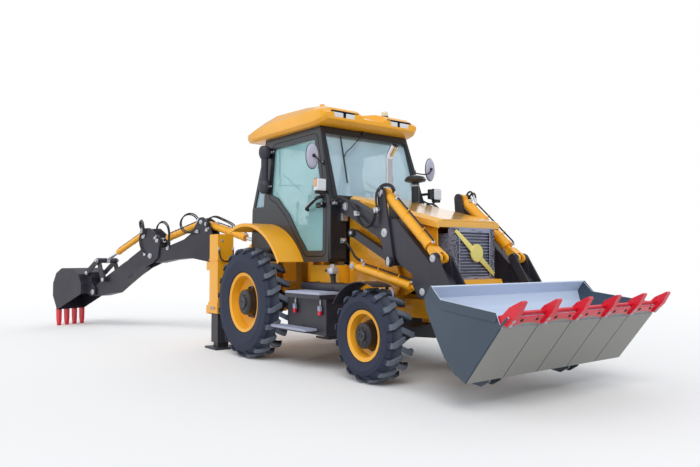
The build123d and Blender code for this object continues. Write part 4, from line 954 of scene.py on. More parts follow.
@dataclass
class PinHeads(Assembly):
    """Plated heads over the ends of the pins.

    Attributes:
        loader: One row for each pin of the loader: body, X, Z, face that the head lies on, the pin's radius
            and how far it stands out of that face.
        hoe: The same for the digging arm: body, distance out, height, face, radius, how far it stands out.
        bosses: The two black bosses of each levelling link: body, X, Z, face and how far the pin stands out.
    """

    loader: Sequence[PinRow] = (
        ("chassis", 1.550, 1.865, 0.6553, 0.032, 0.012), ("chassis", 1.640, 1.184, 0.6303, 0.025, 0.010),
        ("tilt_levers", 2.260, 1.540, 0.6823, 0.032, 0.003), ("tilt_levers", 2.200, 1.975, 0.6823, 0.025, 0.003),
        ("front_lever_pins", 3.060, 0.835, 0.6823, 0.032, 0.008), ("link_pins", 3.000, 1.270, 0.7093, 0.025, 0.003),
        ("loader_bucket", 3.390, 0.655, 0.7093, 0.025, 0.006), ("bucket_pins", 3.450, 0.220, 0.6823, 0.032, 0.008),
        ("loader_arms", 2.800, 0.940, 0.6553, 0.025, 0.0))
    hoe: Sequence[PinRow] = (
        ("kingpost", 0.300, 0.850, 0.1453, 0.040, 0.010), ("kingpost", -0.050, 1.470, 0.1453, 0.030, 0.0),
        ("boom", 1.150, 1.835, 0.0983, 0.025, 0.010), ("boom", 1.264, 1.873, 0.0983, 0.025, 0.010),
        ("dipper", 2.420, 1.312, 0.1293, 0.032, 0.013), ("dipper", 2.260, 1.580, 0.1293, 0.025, 0.0),
        ("dipper", 2.613, 1.753, 0.1293, 0.025, 0.008), ("dig_levers", 3.700, 1.230, 0.2143, 0.025, 0.035),
        ("dipper", 3.580, 0.880, 0.1893, 0.025, 0.002), ("dig_bucket", 3.880, 0.650, 0.1643, 0.032, 0.0),
        ("dig_bucket", 4.000, 1.000, 0.2143, 0.025, 0.008))
    bosses: Sequence[tuple[str, float, float, float, float]] = (
        ("chassis", 1.635, 1.560, 0.6253, 0.010), ("tilt_levers", 2.345, 1.235, 0.6823, 0.003))

    def build(self) -> None:
        """Makes the heads, one piece for each body."""
        parts: dict[str, list[Piece]] = {}
        for body, x, z, face, radius, over in self.loader:
            head = self._head((x, -face, z), RIGHT, radius, over)
            parts.setdefault(body, []).append(self.both(head))
        for body, out, high, face, radius, over in self.hoe:
            for way in (1.0, -1.0):
                head = self._head(hoe_point(out, way * face, high), hoe_way(0.0, way, 0.0), radius, over)
                parts.setdefault(body, []).append(head)
        parts["kingpost"].append(self._head((KING_X, 0.0, 1.3303), UP, 0.040, 0.015))
        for body, heads in parts.items():
            self.mount(joined(heads), f"pin_heads_{body}", body, "zinc")
        keeper = turned([(0.030, 0.0), (0.030, 0.004), (0.028, 0.006)], ORIGIN, RIGHT, 24)
        keeper.data.transform(Matrix.Diagonal((0.85, 1.0, 1.75, 1.0)))
        keeper = joined([keeper, *(hexed((0.0, -0.005, z), RIGHT, 0.013, 0.008) for z in (-0.026, 0.026))])
        low, high = shifted(keeper, (2.345, -0.707, 1.235)), shifted(keeper, (2.200, -0.692, 1.975))
        bpy.data.objects.remove(keeper)
        self.mount(self.both(joined([low, high])), "lever_keepers", "tilt_levers", "zinc")
        for body, x, z, face, over in self.bosses:
            boss = self.coat(turned([(0.050, 0.0), (0.050, 0.020), (0.043, 0.027), (0.024, 0.027), (0.024, 0.022)],
                                    (x, -face, z), RIGHT), "rubber")
            cap = self.coat(turned([(0.020, 0.0), (0.020, 0.026), (0.015, 0.030)], (x, -face, z), RIGHT, 20),
                            "zinc")
            self.fix(self.both(joined([boss, cap])), f"link_boss_{body}", body)

    @staticmethod
    def _head(place: Point, axis: Point, radius: float, over: float) -> Piece:
        """One head: a washer, a cap over the pin's end and a grease nipple in its recess."""
        top = over + 0.006
        rings = [(1.45 * radius, 0.0), (1.45 * radius, 0.005), (1.15 * radius, 0.005), (1.15 * radius, top),
                 (0.95 * radius, top + 0.004), (0.42 * radius, top + 0.004), (0.36 * radius, top - 0.001)]
        cap = turned(rings, place, axis, 28)
        nipple = turned([(0.16 * radius, top - 0.001), (0.16 * radius, top + 0.005), (0.08 * radius, top + 0.007)],
                        place, axis, 10)
        return joined([cap, nipple])


@dataclass
class WheelFittings(Assembly):
    """Black flanges, nuts and caps on the hubs.

    Attributes:
        wheels: For each axle: X, Z, the disc's distance, the hub face's distance, the flange's radius, the
            radius of the nuts' ring, their number and the cap's radius.
    """

    wheels: dict[str, tuple[float, float, float, float, float, float, int, float]] = field(default_factory=lambda: {
        "rear": (0.0, 0.706, 0.986, 1.1243, 0.205, 0.190, 10, 0.072),
        "front": (2.267, 0.482, 0.846, 0.9893, 0.160, 0.147, 8, 0.058)})

    def build(self) -> None:
        """Makes the fittings of each wheel."""
        for which, (x, z, disc, face, flange, ring, count, cap) in self.wheels.items():
            plate = turned([(flange, 0.0), (flange, 0.014), (flange - 0.006, 0.018), (flange - 0.05, 0.018)],
                           (x, -disc, z), RIGHT, 48)
            crown = turned([(cap, 0.0), (cap, 0.014), (cap - 0.008, 0.022), (cap * 0.62, 0.022), (cap * 0.58, 0.015),
                            (cap * 0.25, 0.015), (cap * 0.2, 0.024)], (x, -face, z), RIGHT, 32)
            nut = hexed((x + ring, -disc - 0.018, z), RIGHT, 0.014, 0.018)
            stud = hexed((x + cap + 0.022, -face, z), RIGHT, 0.010, 0.009, washer=False)
            parts = [plate, crown]
            for k in range(count):
                turn = Matrix.Rotation(2 * math.pi * k / count, 4, LEFT)
                about = Matrix.Translation((x, 0.0, z)) @ turn @ Matrix.Translation((-x, 0.0, -z))
                parts += [copied(nut, about), copied(stud, about)]
            for spare in (nut, stud):
                bpy.data.objects.remove(spare)
            valve = self.coat(turned([(0.006, 0.0), (0.006, 0.03), (0.004, 0.045)],
                                     (x - flange - 0.05, -disc - 0.012, z + 0.02), (-0.4, -1.0, 0.0), 10), "black")
            right = self.coat(joined(parts), "hub")
            self.pair(joined([right, valve]), f"hub_{which}", f"wheel_{which}")


@dataclass
class Lamps(Assembly):
    """Work lamps in the roof, headlamps and the beacon.

    Attributes:
        bay: The roof recess: back, mouth, inner side, outer side, low and high.
        roof: Distances of the roof lamps from the middle.
        head: A headlamp's lowest and highest corner on the right side.
        beacon: Middle of the beacon's base.
    """

    bay: tuple[float, float, float, float, float, float] = (1.170, 1.262, 0.235, 0.642, 2.930, 3.046)
    roof: tuple[float, float] = (0.340, 0.538)
    head: tuple[Point, Point] = ((1.400, -1.000, 2.030), (1.470, -0.860, 2.180))
    beacon: Point = (0.900, 0.500, 3.1505)

    def build(self) -> None:
        """Makes all the lamps."""
        back, mouth, inner, outer, low, high = self.bay
        tray = block((back, -outer, low), (mouth, -inner, high), 0.008)
        inset(tray, lambda middle, normal: normal.x > FLAT and middle.x > mouth - 0.004, 0.009, -0.030)
        parts = [self.coat(tray, "black")]
        for y in self.roof:
            shell = self.coat(block((1.215, -y - 0.089, 2.941), (1.248, -y + 0.089, 3.035), 0.012), "black")
            lens = self.coat(block((1.236, -y - 0.078, 2.950), (1.256, -y + 0.078, 3.026), 0.012, 3), "lens")
            inset(lens, facing(AHEAD), 0.006, 0.0015)
            parts += [shell, lens]
        roof = self.fix(self.both(joined(parts)), "roof_lamps", "chassis")
        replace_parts(roof, "lamps")
        self._headlamps()
        self._beacon()

    def _headlamps(self) -> None:
        """A white lens in a dark shell, an orange side light and a black clamp, on each side."""
        (x0, y0, z0), (x1, y1, z1) = self.head
        shell = self.coat(block((x0, y0, z0), (x1 - 0.012, y1, z1), 0.012), "black")
        lens = self.coat(block((x1 - 0.03, y0 + 0.006, z0 + 0.006), (x1, y1 - 0.006, z1 - 0.006), 0.018, 4), "lens")
        inset(lens, facing(AHEAD), 0.022, -0.002)
        side = self.coat(block((x0 + 0.004, y0 - 0.004, z0 + 0.05), (x1 - 0.01, y0 + 0.02, z1 - 0.008), 0.010, 3),
                         "amber")
        pale = self.coat(block((x0 + 0.004, y0 - 0.003, z0 + 0.006), (x1 - 0.01, y0 + 0.02, z0 + 0.052), 0.008, 3),
                         "lens")
        box = self.coat(block((1.400, -0.860, 2.040), (1.450, -0.800, 2.170), 0.008), "black")
        foot = self.coat(block((1.405, -0.985, 2.002), (1.458, -0.872, 2.031), 0.006), "rubber")
        bracket = self.coat(tube([(1.425, -0.92, 2.012), (1.41, -0.90, 1.985), (1.38, -0.84, 1.985),
                                  (1.33, -0.79, 2.02), (1.31, -0.765, 2.06)], 0.011), "black")
        arm = self.coat(block((1.300, -0.805, 2.088), (1.420, -0.765, 2.120), 0.006), "black")
        lamp = joined([shell, lens, side, pale, box, foot, bracket, arm])
        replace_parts(self.fix(self.both(lamp), "headlamps", "chassis"), "lamps")

    def _beacon(self) -> None:
        """A black base, a cream band and a cream dome."""
        base = self.coat(turned([(0.055, 0.0), (0.055, 0.018), (0.051, 0.024), (0.046, 0.026)], self.beacon, UP),
                         "rubber")
        band = self.coat(turned([(0.046, 0.024), (0.047, 0.030), (0.045, 0.056), (0.043, 0.058)], self.beacon, UP),
                         "cream")
        dome = self.coat(turned([(0.0435, 0.056), (0.044, 0.066), (0.041, 0.078), (0.033, 0.086), (0.018, 0.0905),
                                 (0.006, 0.091)], self.beacon, UP), "cream")
        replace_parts(self.fix(joined([base, band, dome]), "beacon", "chassis"), "lamps")


@dataclass
class Mirrors(Assembly):
    """Oval mirrors on bent arms.

    Attributes:
        middle: The right mirror's middle.
        half: Its depth, half width and half height.
    """

    middle: Point = (1.290, -0.950, 2.450)
    half: Point = (0.038, 0.085, 0.150)

    def build(self) -> None:
        """Makes both mirrors."""
        place = Matrix.Translation(self.middle) @ Matrix.Diagonal((*self.half, 1.0))
        shell = turned([(0.97, 0.0), (1.0, 0.22), (0.95, 0.55), (0.80, 0.82), (0.50, 0.97), (0.12, 1.0)],
                       ORIGIN, AHEAD, 40)
        shell.data.transform(place)
        self.coat(shell, "shell")
        painted(shell, self.shop.material("mirror"), facing(BEHIND))
        rim = turned([(1.0, 0.0), (1.03, 0.1), (1.03, 0.28), (1.0, 0.36)], ORIGIN, AHEAD, 40)
        rim.data.transform(place)
        inset(rim, facing(BEHIND), 0.009, -0.004)
        self.coat(rim, "shell_rim")
        joint = self.coat(turned([(0.022, 0.0), (0.024, 0.014), (0.014, 0.026)], (1.318, -0.945, 2.455),
                                 (1.0, 0.2, -0.3), 20), "rubber")
        arm = self.coat(tube([(1.215, -0.745, 2.398), (1.250, -0.765, 2.392), (1.318, -0.800, 2.372),
                              (1.352, -0.860, 2.378), (1.352, -0.915, 2.420), (1.334, -0.940, 2.458)], 0.0085, 3),
                        "rubber")
        clamp = self.coat(block((1.196, -0.752, 2.372), (1.242, -0.722, 2.432), 0.007), "black")
        nut = self.coat(hexed((1.222, -0.752, 2.402), RIGHT, 0.010, 0.008), "zinc")
        piece = self.fix(self.both(joined([shell, rim, joint, arm, clamp, nut])), "mirror_pair", "chassis")
        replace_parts(piece, "mirrors")


@dataclass
class DriverPlace(Assembly):
    """Seat, dash, steering wheel, side console and levers.

    Attributes:
        floor: Height of the cab's floor.
        hub: Middle of the steering wheel.
        wheel: Radius of its rim.
    """

    floor: float = 1.2635
    hub: Point = (0.985, 0.0, 1.990)
    wheel: float = 0.182

    def build(self) -> None:
        """Makes everything in the cab."""
        self._seat()
        self._dash()
        self._wheel()
        self._levers()

    def _cushion(self, low: Point, high: Point, face: FaceTest, crown: float) -> Piece:
        """A stuffed block whose chosen side bulges, with a sewn channel round it."""
        pad = block(low, high)
        inset(pad, face, 0.045, 0.0)
        inset(pad, face, 0.012, -0.010)
        inset(pad, face, 0.014, 0.010)
        inset(pad, face, 0.05, crown)
        rounded(pad, 0.022, 3)
        hold(pad)
        smooth = pad.modifiers.new("soft", "SUBSURF")
        smooth.levels = smooth.render_levels = 2
        bpy.ops.object.modifier_apply(modifier=smooth.name)
        return pad

    def _seat(self) -> None:
        """Pedestal, cushion, back, head rest and arm rests."""
        foot = block((0.250, -0.200, self.floor), (0.560, 0.200, 1.400), 0.02)
        inset(foot, facing(UP), 0.03, 0.0)
        draw_out(foot, lambda middle, normal: normal.z > FLAT and abs(middle.y) < 0.1, (0.0, 0.0, 0.16))
        self.mount(rounded(foot, 0.006), "seat_pedestal", "chassis", "seat")
        cushion = self._cushion((0.190, -0.255, 1.560), (0.680, 0.255, 1.672), facing(UP), 0.012)
        self.mount(cushion, "seat_cushion", "chassis", "fabric", 60.0)
        lean = Matrix.Translation((0.250, 0.0, 1.640)) @ Matrix.Rotation(math.radians(-7.0), 4, "Y")
        back = self._cushion((-0.055, -0.235, 0.045), (0.060, 0.235, 0.50), facing(AHEAD), 0.012)
        back.data.transform(lean)
        self.mount(back, "seat_back", "chassis", "fabric", 60.0)
        rest = self._cushion((-0.040, -0.13, 0.53), (0.045, 0.13, 0.66), facing(AHEAD), 0.008)
        rest.data.transform(lean)
        self.mount(rest, "seat_head_rest", "chassis", "fabric", 60.0)
        arm = block((0.21, -0.315, 1.80), (0.50, -0.262, 1.845), 0.018, 3)
        draw_out(arm, lambda middle, normal: normal.z < -FLAT and middle.x < 0.4, (0.0, 0.0, -0.12), (0.25, 0.6, 1.0),
                 (0.23, -0.288, 1.68))
        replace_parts(self.mount(self.both(arm), "seat_arm_rests", "chassis", "seat"), "driver_place")

    def _dash(self) -> None:
        """The column in front of the driver, its gauge board and the dark red cover under it."""
        dash = prism([(1.060, self.floor), (1.330, self.floor), (1.330, 1.900), (1.200, 1.940), (1.090, 1.860)],
                     ORIGIN, AHEAD, UP, 0.42)
        inset(dash, lambda middle, normal: normal.z > 0.5 and normal.x < -0.3, 0.02, -0.012)
        inset(dash, facing(LEFT, RIGHT), 0.03, 0.006)
        self.mount(rounded(dash, 0.008), "dash_column", "chassis", "seat")
        cover = block((0.98, -0.36, self.floor), (1.30, -0.215, 1.50), 0.03, 3)
        draw_out(cover, facing(UP), (0.04, 0.0, 0.06), (0.6, 0.8, 1.0), (1.14, -0.29, 1.56))
        self.mount(cover, "dash_cover", "chassis", "maroon")

    def _wheel(self) -> None:
        """Rim, spokes, hub and column of the steering wheel."""
        axis = Vector((-0.135, 0.0, 0.140)).normalized()
        turn = axis.to_track_quat("Z", "Y").to_matrix().to_4x4()
        deselect()
        bpy.ops.mesh.primitive_torus_add(major_radius=self.wheel, minor_radius=0.0125, major_segments=48,
                                         minor_segments=12)
        parts = [settle(bpy.context.object)]
        inset(parts[0], lambda middle, normal: middle.z < -0.009, 0.001, -0.0015)
        for k in range(3):
            spoke = block((0.03, -0.013, -0.012), (self.wheel - 0.006, 0.013, -0.002), 0.003)
            draw_out(spoke, facing(BEHIND), (-0.004, 0.0, -0.010))
            parts.append(copied(spoke, Matrix.Rotation(math.radians(90 + 120 * k), 4, "Z")))
            bpy.data.objects.remove(spoke)
        parts.append(turned([(0.046, -0.03), (0.046, -0.006), (0.040, 0.0), (0.020, 0.004)], ORIGIN, UP))
        parts.append(turned([(0.026, -0.19), (0.024, -0.03)], ORIGIN, UP, 20))
        wheel = joined(parts)
        wheel.data.transform(Matrix.Translation(self.hub) @ turn)
        self.mount(wheel, "steering_wheel", "chassis", "rubber")

    def _levers(self) -> None:
        """Two levers on boots behind the seat, and one beside the dash with a red knob."""
        parts = []
        for y in (-0.16, 0.16):
            stand = block((-0.30, y - 0.06, self.floor), (-0.18, y + 0.06, 1.70), 0.01)
            inset(stand, facing(UP), 0.018, -0.01)
            boot = turned([(0.045, 0.0), (0.030, 0.05), (0.034, 0.055), (0.020, 0.09), (0.009, 0.11)],
                          (-0.24, y, 1.69), UP, 16)
            stick = tube([(-0.24, y, 1.78), (-0.24, y, 1.86), (-0.225, y, 1.94), (-0.22, y, 1.99)], 0.008)
            grip = turned([(0.016, 0.0), (0.022, 0.02), (0.024, 0.07), (0.018, 0.10), (0.008, 0.108)],
                          (-0.22, y, 1.97), (0.06, 0.0, 1.0), 16)
            parts += [stand, boot, stick, grip]
        self.mount(joined(parts), "rear_levers", "chassis", "seat")
        stem = self.coat(tube([(1.00, -0.42, 1.30), (1.00, -0.44, 1.55), (0.93, -0.50, 1.85), (0.86, -0.52, 2.05)],
                              0.014), "seat")
        knob = self.coat(turned([(0.014, -0.02), (0.026, 0.0), (0.030, 0.03), (0.024, 0.06), (0.010, 0.07)],
                                (0.86, -0.52, 2.03), (-0.3, -0.1, 1.0), 20), "red")
        self.fix(joined([stem, knob]), "side_lever", "chassis")


@dataclass
class Grille(Assembly):
    """Posts of speckled mesh, bright rods, and a plain yellow strip with a disc.

    Attributes:
        front: Distance of the grille's front face.
        half: Half its width.
        low: Height of its lower edge.
        high: Height of its upper edge.
    """

    front: float = 2.9003
    half: float = 0.316
    low: float = 1.0546
    high: float = 1.5864

    def build(self) -> None:
        """Makes the posts, rods, strip and disc."""
        posts, rods = [], []
        for way in (-1.0, 1.0):
            inner, outer = way * (self.half - 0.075), way * (self.half - 0.004)
            y0, y1 = min(inner, outer), max(inner, outer)
            post = block((self.front - 0.001, y0, self.low + 0.01), (self.front + 0.005, y1, self.high - 0.01))
            inset(post, facing(AHEAD), 0.007, -0.003)
            posts.append(rounded(post, 0.0015, 1))
            y = way * (self.half - 0.083)
            rods.append(turned([(0.0055, 0.0), (0.0055, self.high - self.low - 0.04),
                                (0.003, self.high - self.low - 0.036)],
                               (self.front + 0.006, y, self.low + 0.02), UP, 10))
            for z in (self.low + 0.05, self.high - 0.05):
                rods.append(hexed((self.front + 0.004, way * (self.half - 0.03), z), AHEAD, 0.009, 0.006))
        band = block((self.front - 0.001, -self.half + 0.08, self.high - 0.05),
                     (self.front + 0.004, self.half - 0.08, self.high - 0.006))
        inset(band, facing(AHEAD), 0.008, 0.002)
        rods.append(rounded(band, 0.001, 1))
        self.mount(joined(posts), "grille_posts", "chassis", "mesh")
        self.mount(joined(rods), "grille_rods", "chassis", "slats")
        backing = block((self.front - 0.024, -0.236, self.low + 0.034),
                        (self.front - 0.020, 0.236, self.high - 0.052))
        inset(backing, facing(AHEAD), 0.01, -0.001)
        self.mount(backing, "grille_backing", "chassis", "backing")
        strip = prism([(-0.306, 1.540), (-0.276, 1.566), (0.045, 1.342), (0.308, 1.118), (0.286, 1.082),
                       (-0.015, 1.296)],
                      (self.front + 0.007, 0.0, 0.0), LEFT, UP, 0.010)
        disc = turned([(0.094, 0.0), (0.094, 0.012), (0.088, 0.017), (0.062, 0.019)],
                      (self.front + 0.002, 0.025, 1.325), AHEAD, 48)
        self.mount(joined([rounded(strip, 0.003), disc]), "grille_strip", "chassis", "strip")


@dataclass
class CabFittings(Assembly):
    """Wiper, seals, inner bars, handles, hinge caps and the panel under the cab's front corner.

    Attributes:
        waist: Height of the waist line.
        glass: Distance of the windscreen at the waist line.
        slope: How far the windscreen leans back for each metre of height.
    """

    waist: float = 1.930
    glass: float = 1.398
    slope: float = 0.3177

    def _pane(self, y: float, z: float, off: float = 0.012) -> Point:
        """A point just in front of the windscreen."""
        return (self.glass - self.slope * (z - self.waist) + off, y, z)

    @staticmethod
    def _wall(x: float, z: float, off: float = 0.012) -> Point:
        """A point just outside the right side's glass."""
        return (x, -(0.772 - 0.0768 * (z - 1.930) + off), z)

    def build(self) -> None:
        """Makes all the fittings."""
        self._wiper()
        self._screen_seal()
        self._doors()
        self._inner_bars()
        self._front_corner()

    def _wiper(self) -> None:
        """Pivot, bent arm and blade on the windscreen."""
        pivot = turned([(0.026, -0.012), (0.026, 0.008), (0.018, 0.018), (0.010, 0.020)], self._pane(-0.04, 2.845),
                       (0.953, 0.0, 0.303), 20)
        arm = tube([self._pane(-0.04, 2.845, 0.018), self._pane(-0.19, 2.725, 0.026),
                    self._pane(-0.321, 2.613, 0.030),
                    self._pane(-0.40, 2.56, 0.024), self._pane(-0.432, 2.50, 0.016)], 0.0062, 3)
        blade = tube([self._pane(-0.425, 2.756, 0.010), self._pane(-0.435, 2.56, 0.015),
                      self._pane(-0.459, 2.171, 0.010)],
                     0.0075, 2)
        rubber = tube([self._pane(-0.428, 2.752, 0.004), self._pane(-0.462, 2.175, 0.004)], 0.0035, 2)
        self.mount(joined([pivot, arm, blade, rubber]), "wiper", "chassis", "rubber")

    def _screen_seal(self) -> None:
        """A rubber line round the windscreen."""
        parts = []
        for half, z in ((0.700, 2.790), (0.742, 1.985)):
            parts.append(tube([self._pane(-half + 0.04, z, 0.003), self._pane(half - 0.04, z, 0.003)], 0.007, 2))
        side = tube([self._pane(-0.742 + 0.04, 1.985, 0.003), self._pane(-0.700 + 0.04, 2.790, 0.003)], 0.007, 2)
        parts.append(self.both(side))
        self.mount(joined(parts), "screen_seal", "chassis", "rubber")

    def _doors(self) -> None:
        """A handle, lock and grab bar on each door, a zinc strip along the bar that paints its highlight, and its
        hinges' caps.
        """
        plate = self.coat(block((1.170, -0.806, 1.862), (1.300, -0.786, 1.925), 0.006), "rubber")
        inset(plate, facing(RIGHT), 0.010, -0.006)
        lever = self.coat(block((1.185, -0.822, 1.872), (1.285, -0.802, 1.894), 0.006), "black")
        lock = self.coat(turned([(0.011, 0.0), (0.011, 0.006), (0.006, 0.008)], (1.285, -0.800, 1.908),
                                RIGHT, 16), "zinc")
        bar = self.coat(tube([(1.241, -0.770, 1.991), (1.236, -0.800, 1.992), (1.20, -0.820, 1.975),
                              (1.10, -0.826, 1.925),
                              (1.00, -0.820, 1.876), (0.968, -0.805, 1.858), (0.963, -0.775, 1.854)], 0.020, 4),
                        "rubber")
        # Painted highlight: a thin zinc tube along the outside of the shiny black grab bar stands in for its sheen.
        strip = self.coat(tube([(1.19, -0.838, 1.973), (1.10, -0.843, 1.931), (1.01, -0.838, 1.886)], 0.0065, 3),
                          "zinc")
        parts = [plate, lever, lock, bar, strip]
        for z in (2.220, 2.680):
            parts.append(self.coat(turned([(0.050, -0.085), (0.066, -0.060), (0.077, -0.025), (0.077, 0.030),
                                           (0.066, 0.065), (0.048, 0.085)], (-0.035, -0.805, z), UP, 28),
                                   "shell_rim"))
            for x in (0.045, 0.095):
                parts.append(self.coat(hexed((x, -0.772 + 0.0768 * (z - 1.93) - 0.030, z), (0.0, -1.0, 0.077), 0.009,
                                             0.007),
                                       "zinc"))
        parts.append(self.coat(turned([(0.040, -0.07), (0.046, -0.05), (0.046, 0.53), (0.040, 0.56)],
                                      (-0.035, -0.805, 2.200), UP, 24), "shell_rim"))
        self.pair(joined(parts), "door_fittings", "door")

    def _inner_bars(self) -> None:
        """Stays behind the door's glass and the dark lever with its red knob."""
        def inside(x: float, z: float) -> Point:
            """A point just inside the right side's glass."""
            return self._wall(x, z, -0.045)

        bars = [tube([inside(0.117, 2.736), inside(0.16, 2.48), inside(0.207, 2.217)], 0.011, 3),
                tube([inside(0.186, 2.224), inside(0.45, 2.20), inside(0.716, 2.176)], 0.010, 3),
                tube([inside(0.249, 2.369), inside(0.48, 2.24), inside(0.708, 2.108)], 0.009, 3),
                tube([inside(0.115, 2.138), inside(0.20, 2.07), inside(0.288, 2.005)], 0.009, 3)]
        self.pair(self.coat(joined(bars), "black"), "door_stays", "door")
        stick = self.coat(tube([(0.740, -0.56, 2.180), (0.80, -0.60, 2.10), (0.86, -0.62, 2.02), (0.909, -0.62, 1.90),
                                (0.92, -0.60, 1.80), (0.90, -0.55, 1.50), (0.90, -0.55, 1.27)], 0.013, 3), "rubber")
        knob = self.coat(turned([(0.010, -0.02), (0.024, 0.0), (0.030, 0.035), (0.022, 0.065), (0.008, 0.072)],
                                (0.858, -0.622, 2.035), (-0.3, -0.15, 1.0), 20), "red")
        self.fix(joined([stick, knob]), "park_lever", "chassis")

    def _front_corner(self) -> None:
        """The dark service panel, its fuse box, the valve below with its caps, and a short rubber neck under the
        valve.
        """
        panel = self.coat(block((1.386, -0.775, 1.262), (1.422, -0.545, 1.895), 0.008), "black")
        inset(panel, facing(AHEAD), 0.02, -0.006)
        box = self.coat(block((1.420, -0.632, 1.705), (1.462, -0.548, 1.855), 0.008), "zinc")
        inset(box, facing(AHEAD), 0.012, 0.004)
        valve = self.coat(block((1.375, -0.790, 1.092), (1.478, -0.700, 1.160), 0.008), "zinc")
        inset(valve, facing(AHEAD, RIGHT), 0.014, 0.008)
        caps = [hexed((x, -0.745, 1.160), UP, 0.013, 0.045) for x in (1.400, 1.440)]
        neck = self.coat(turned([(0.034, 0.0), (0.030, 0.02), (0.030, 0.075), (0.036, 0.09), (0.036, 0.118)],
                                (1.440, -0.745, 0.980), (-0.10, 0.0, 1.0), 24), "rubber")
        foot = self.coat(block((1.300, -0.770, 1.115), (1.378, -0.710, 1.142), 0.004), "black")
        self.fix(joined([panel, box, valve, self.coat(joined(caps), "zinc"), neck, foot]), "service_panel", "chassis")


@dataclass
class Steps(Assembly):
    """Pale ribbed treads on the step boxes, with hanging latches.

    Attributes:
        treads: Lowest and highest corner of each tread on the right side.
        latches: X of the two latches.
        tank: Lowest and highest corner of the tank above the step box.
        box: Lowest and highest corner of the box behind the latches.
    """

    treads: Sequence[tuple[Point, Point]] = (
        ((0.945, -1.086, 0.868), (1.645, -0.790, 0.8965)), ((0.695, -1.126, 0.454), (1.425, -0.962, 0.4815)))
    latches: tuple[float, float] = (0.990, 1.500)
    tank: tuple[Point, Point] = ((0.800, -0.785, 0.886), (1.690, -0.560, 0.985))
    box: tuple[Point, Point] = ((0.800, -0.9595, 0.470), (1.132, -0.700, 0.822))

    def build(self) -> None:
        """Makes treads and latches."""
        parts = []
        for low, high in self.treads:
            tread = block(low, high)
            inset(tread, facing(UP), 0.010, -0.004)
            parts.append(rounded(tread, 0.003))
            rib = block((low[0] + 0.02, low[1] + 0.015, high[2] - 0.006), (low[0] + 0.026, high[1] - 0.015, high[2]),
                        0.001, 1)
            for k in range(int((high[0] - low[0] - 0.04) / 0.022)):
                parts.append(shifted(rib, (0.022 * k, 0.0, 0.0)))
            bpy.data.objects.remove(rib)
        self.mount(self.both(joined(parts)), "step_treads", "chassis", "tread")
        tank = block(*self.tank, 0.030, 4)
        inset(tank, facing(AHEAD, BEHIND), 0.008, 0.004)
        case = block(*self.box)
        inset(case, facing(RIGHT), 0.018, -0.0035)
        straps = [tube([(x, -0.62, 0.9885), (x, -0.75, 0.9885), (x, -0.7885, 0.975), (x, -0.7885, 0.895)], 0.0045, 2)
                  for x in (1.02, 1.47)]
        self.mount(self.both(joined([tank, rounded(case, 0.006), *straps])), "step_tank", "chassis", "dark")
        for number, x in enumerate(self.latches):
            strap = self.coat(block((x - 0.014, -0.976, 0.752), (x + 0.014, -0.962, 0.825), 0.005), "zinc")
            draw_out(strap, facing(DOWN), (0.004, -0.006, -0.035), (0.6, 1.0, 1.0), (x, -0.97, 0.72))
            loop = self.coat(block((x - 0.028, -0.994, 0.682), (x + 0.028, -0.964, 0.742), 0.007), "tread")
            inset(loop, facing(RIGHT), 0.010, -0.006)
            grip = self.coat(block((x - 0.023, -0.996, 0.632), (x + 0.026, -0.964, 0.686), 0.010, 3), "red")
            pin = self.coat(turned([(0.012, 0.0), (0.012, 0.012), (0.008, 0.016)], (x, -0.960, 0.800), RIGHT, 16),
                            "zinc")
            self.fix(self.both(joined([strap, loop, grip, pin])), f"step_latch_{number}", "chassis")


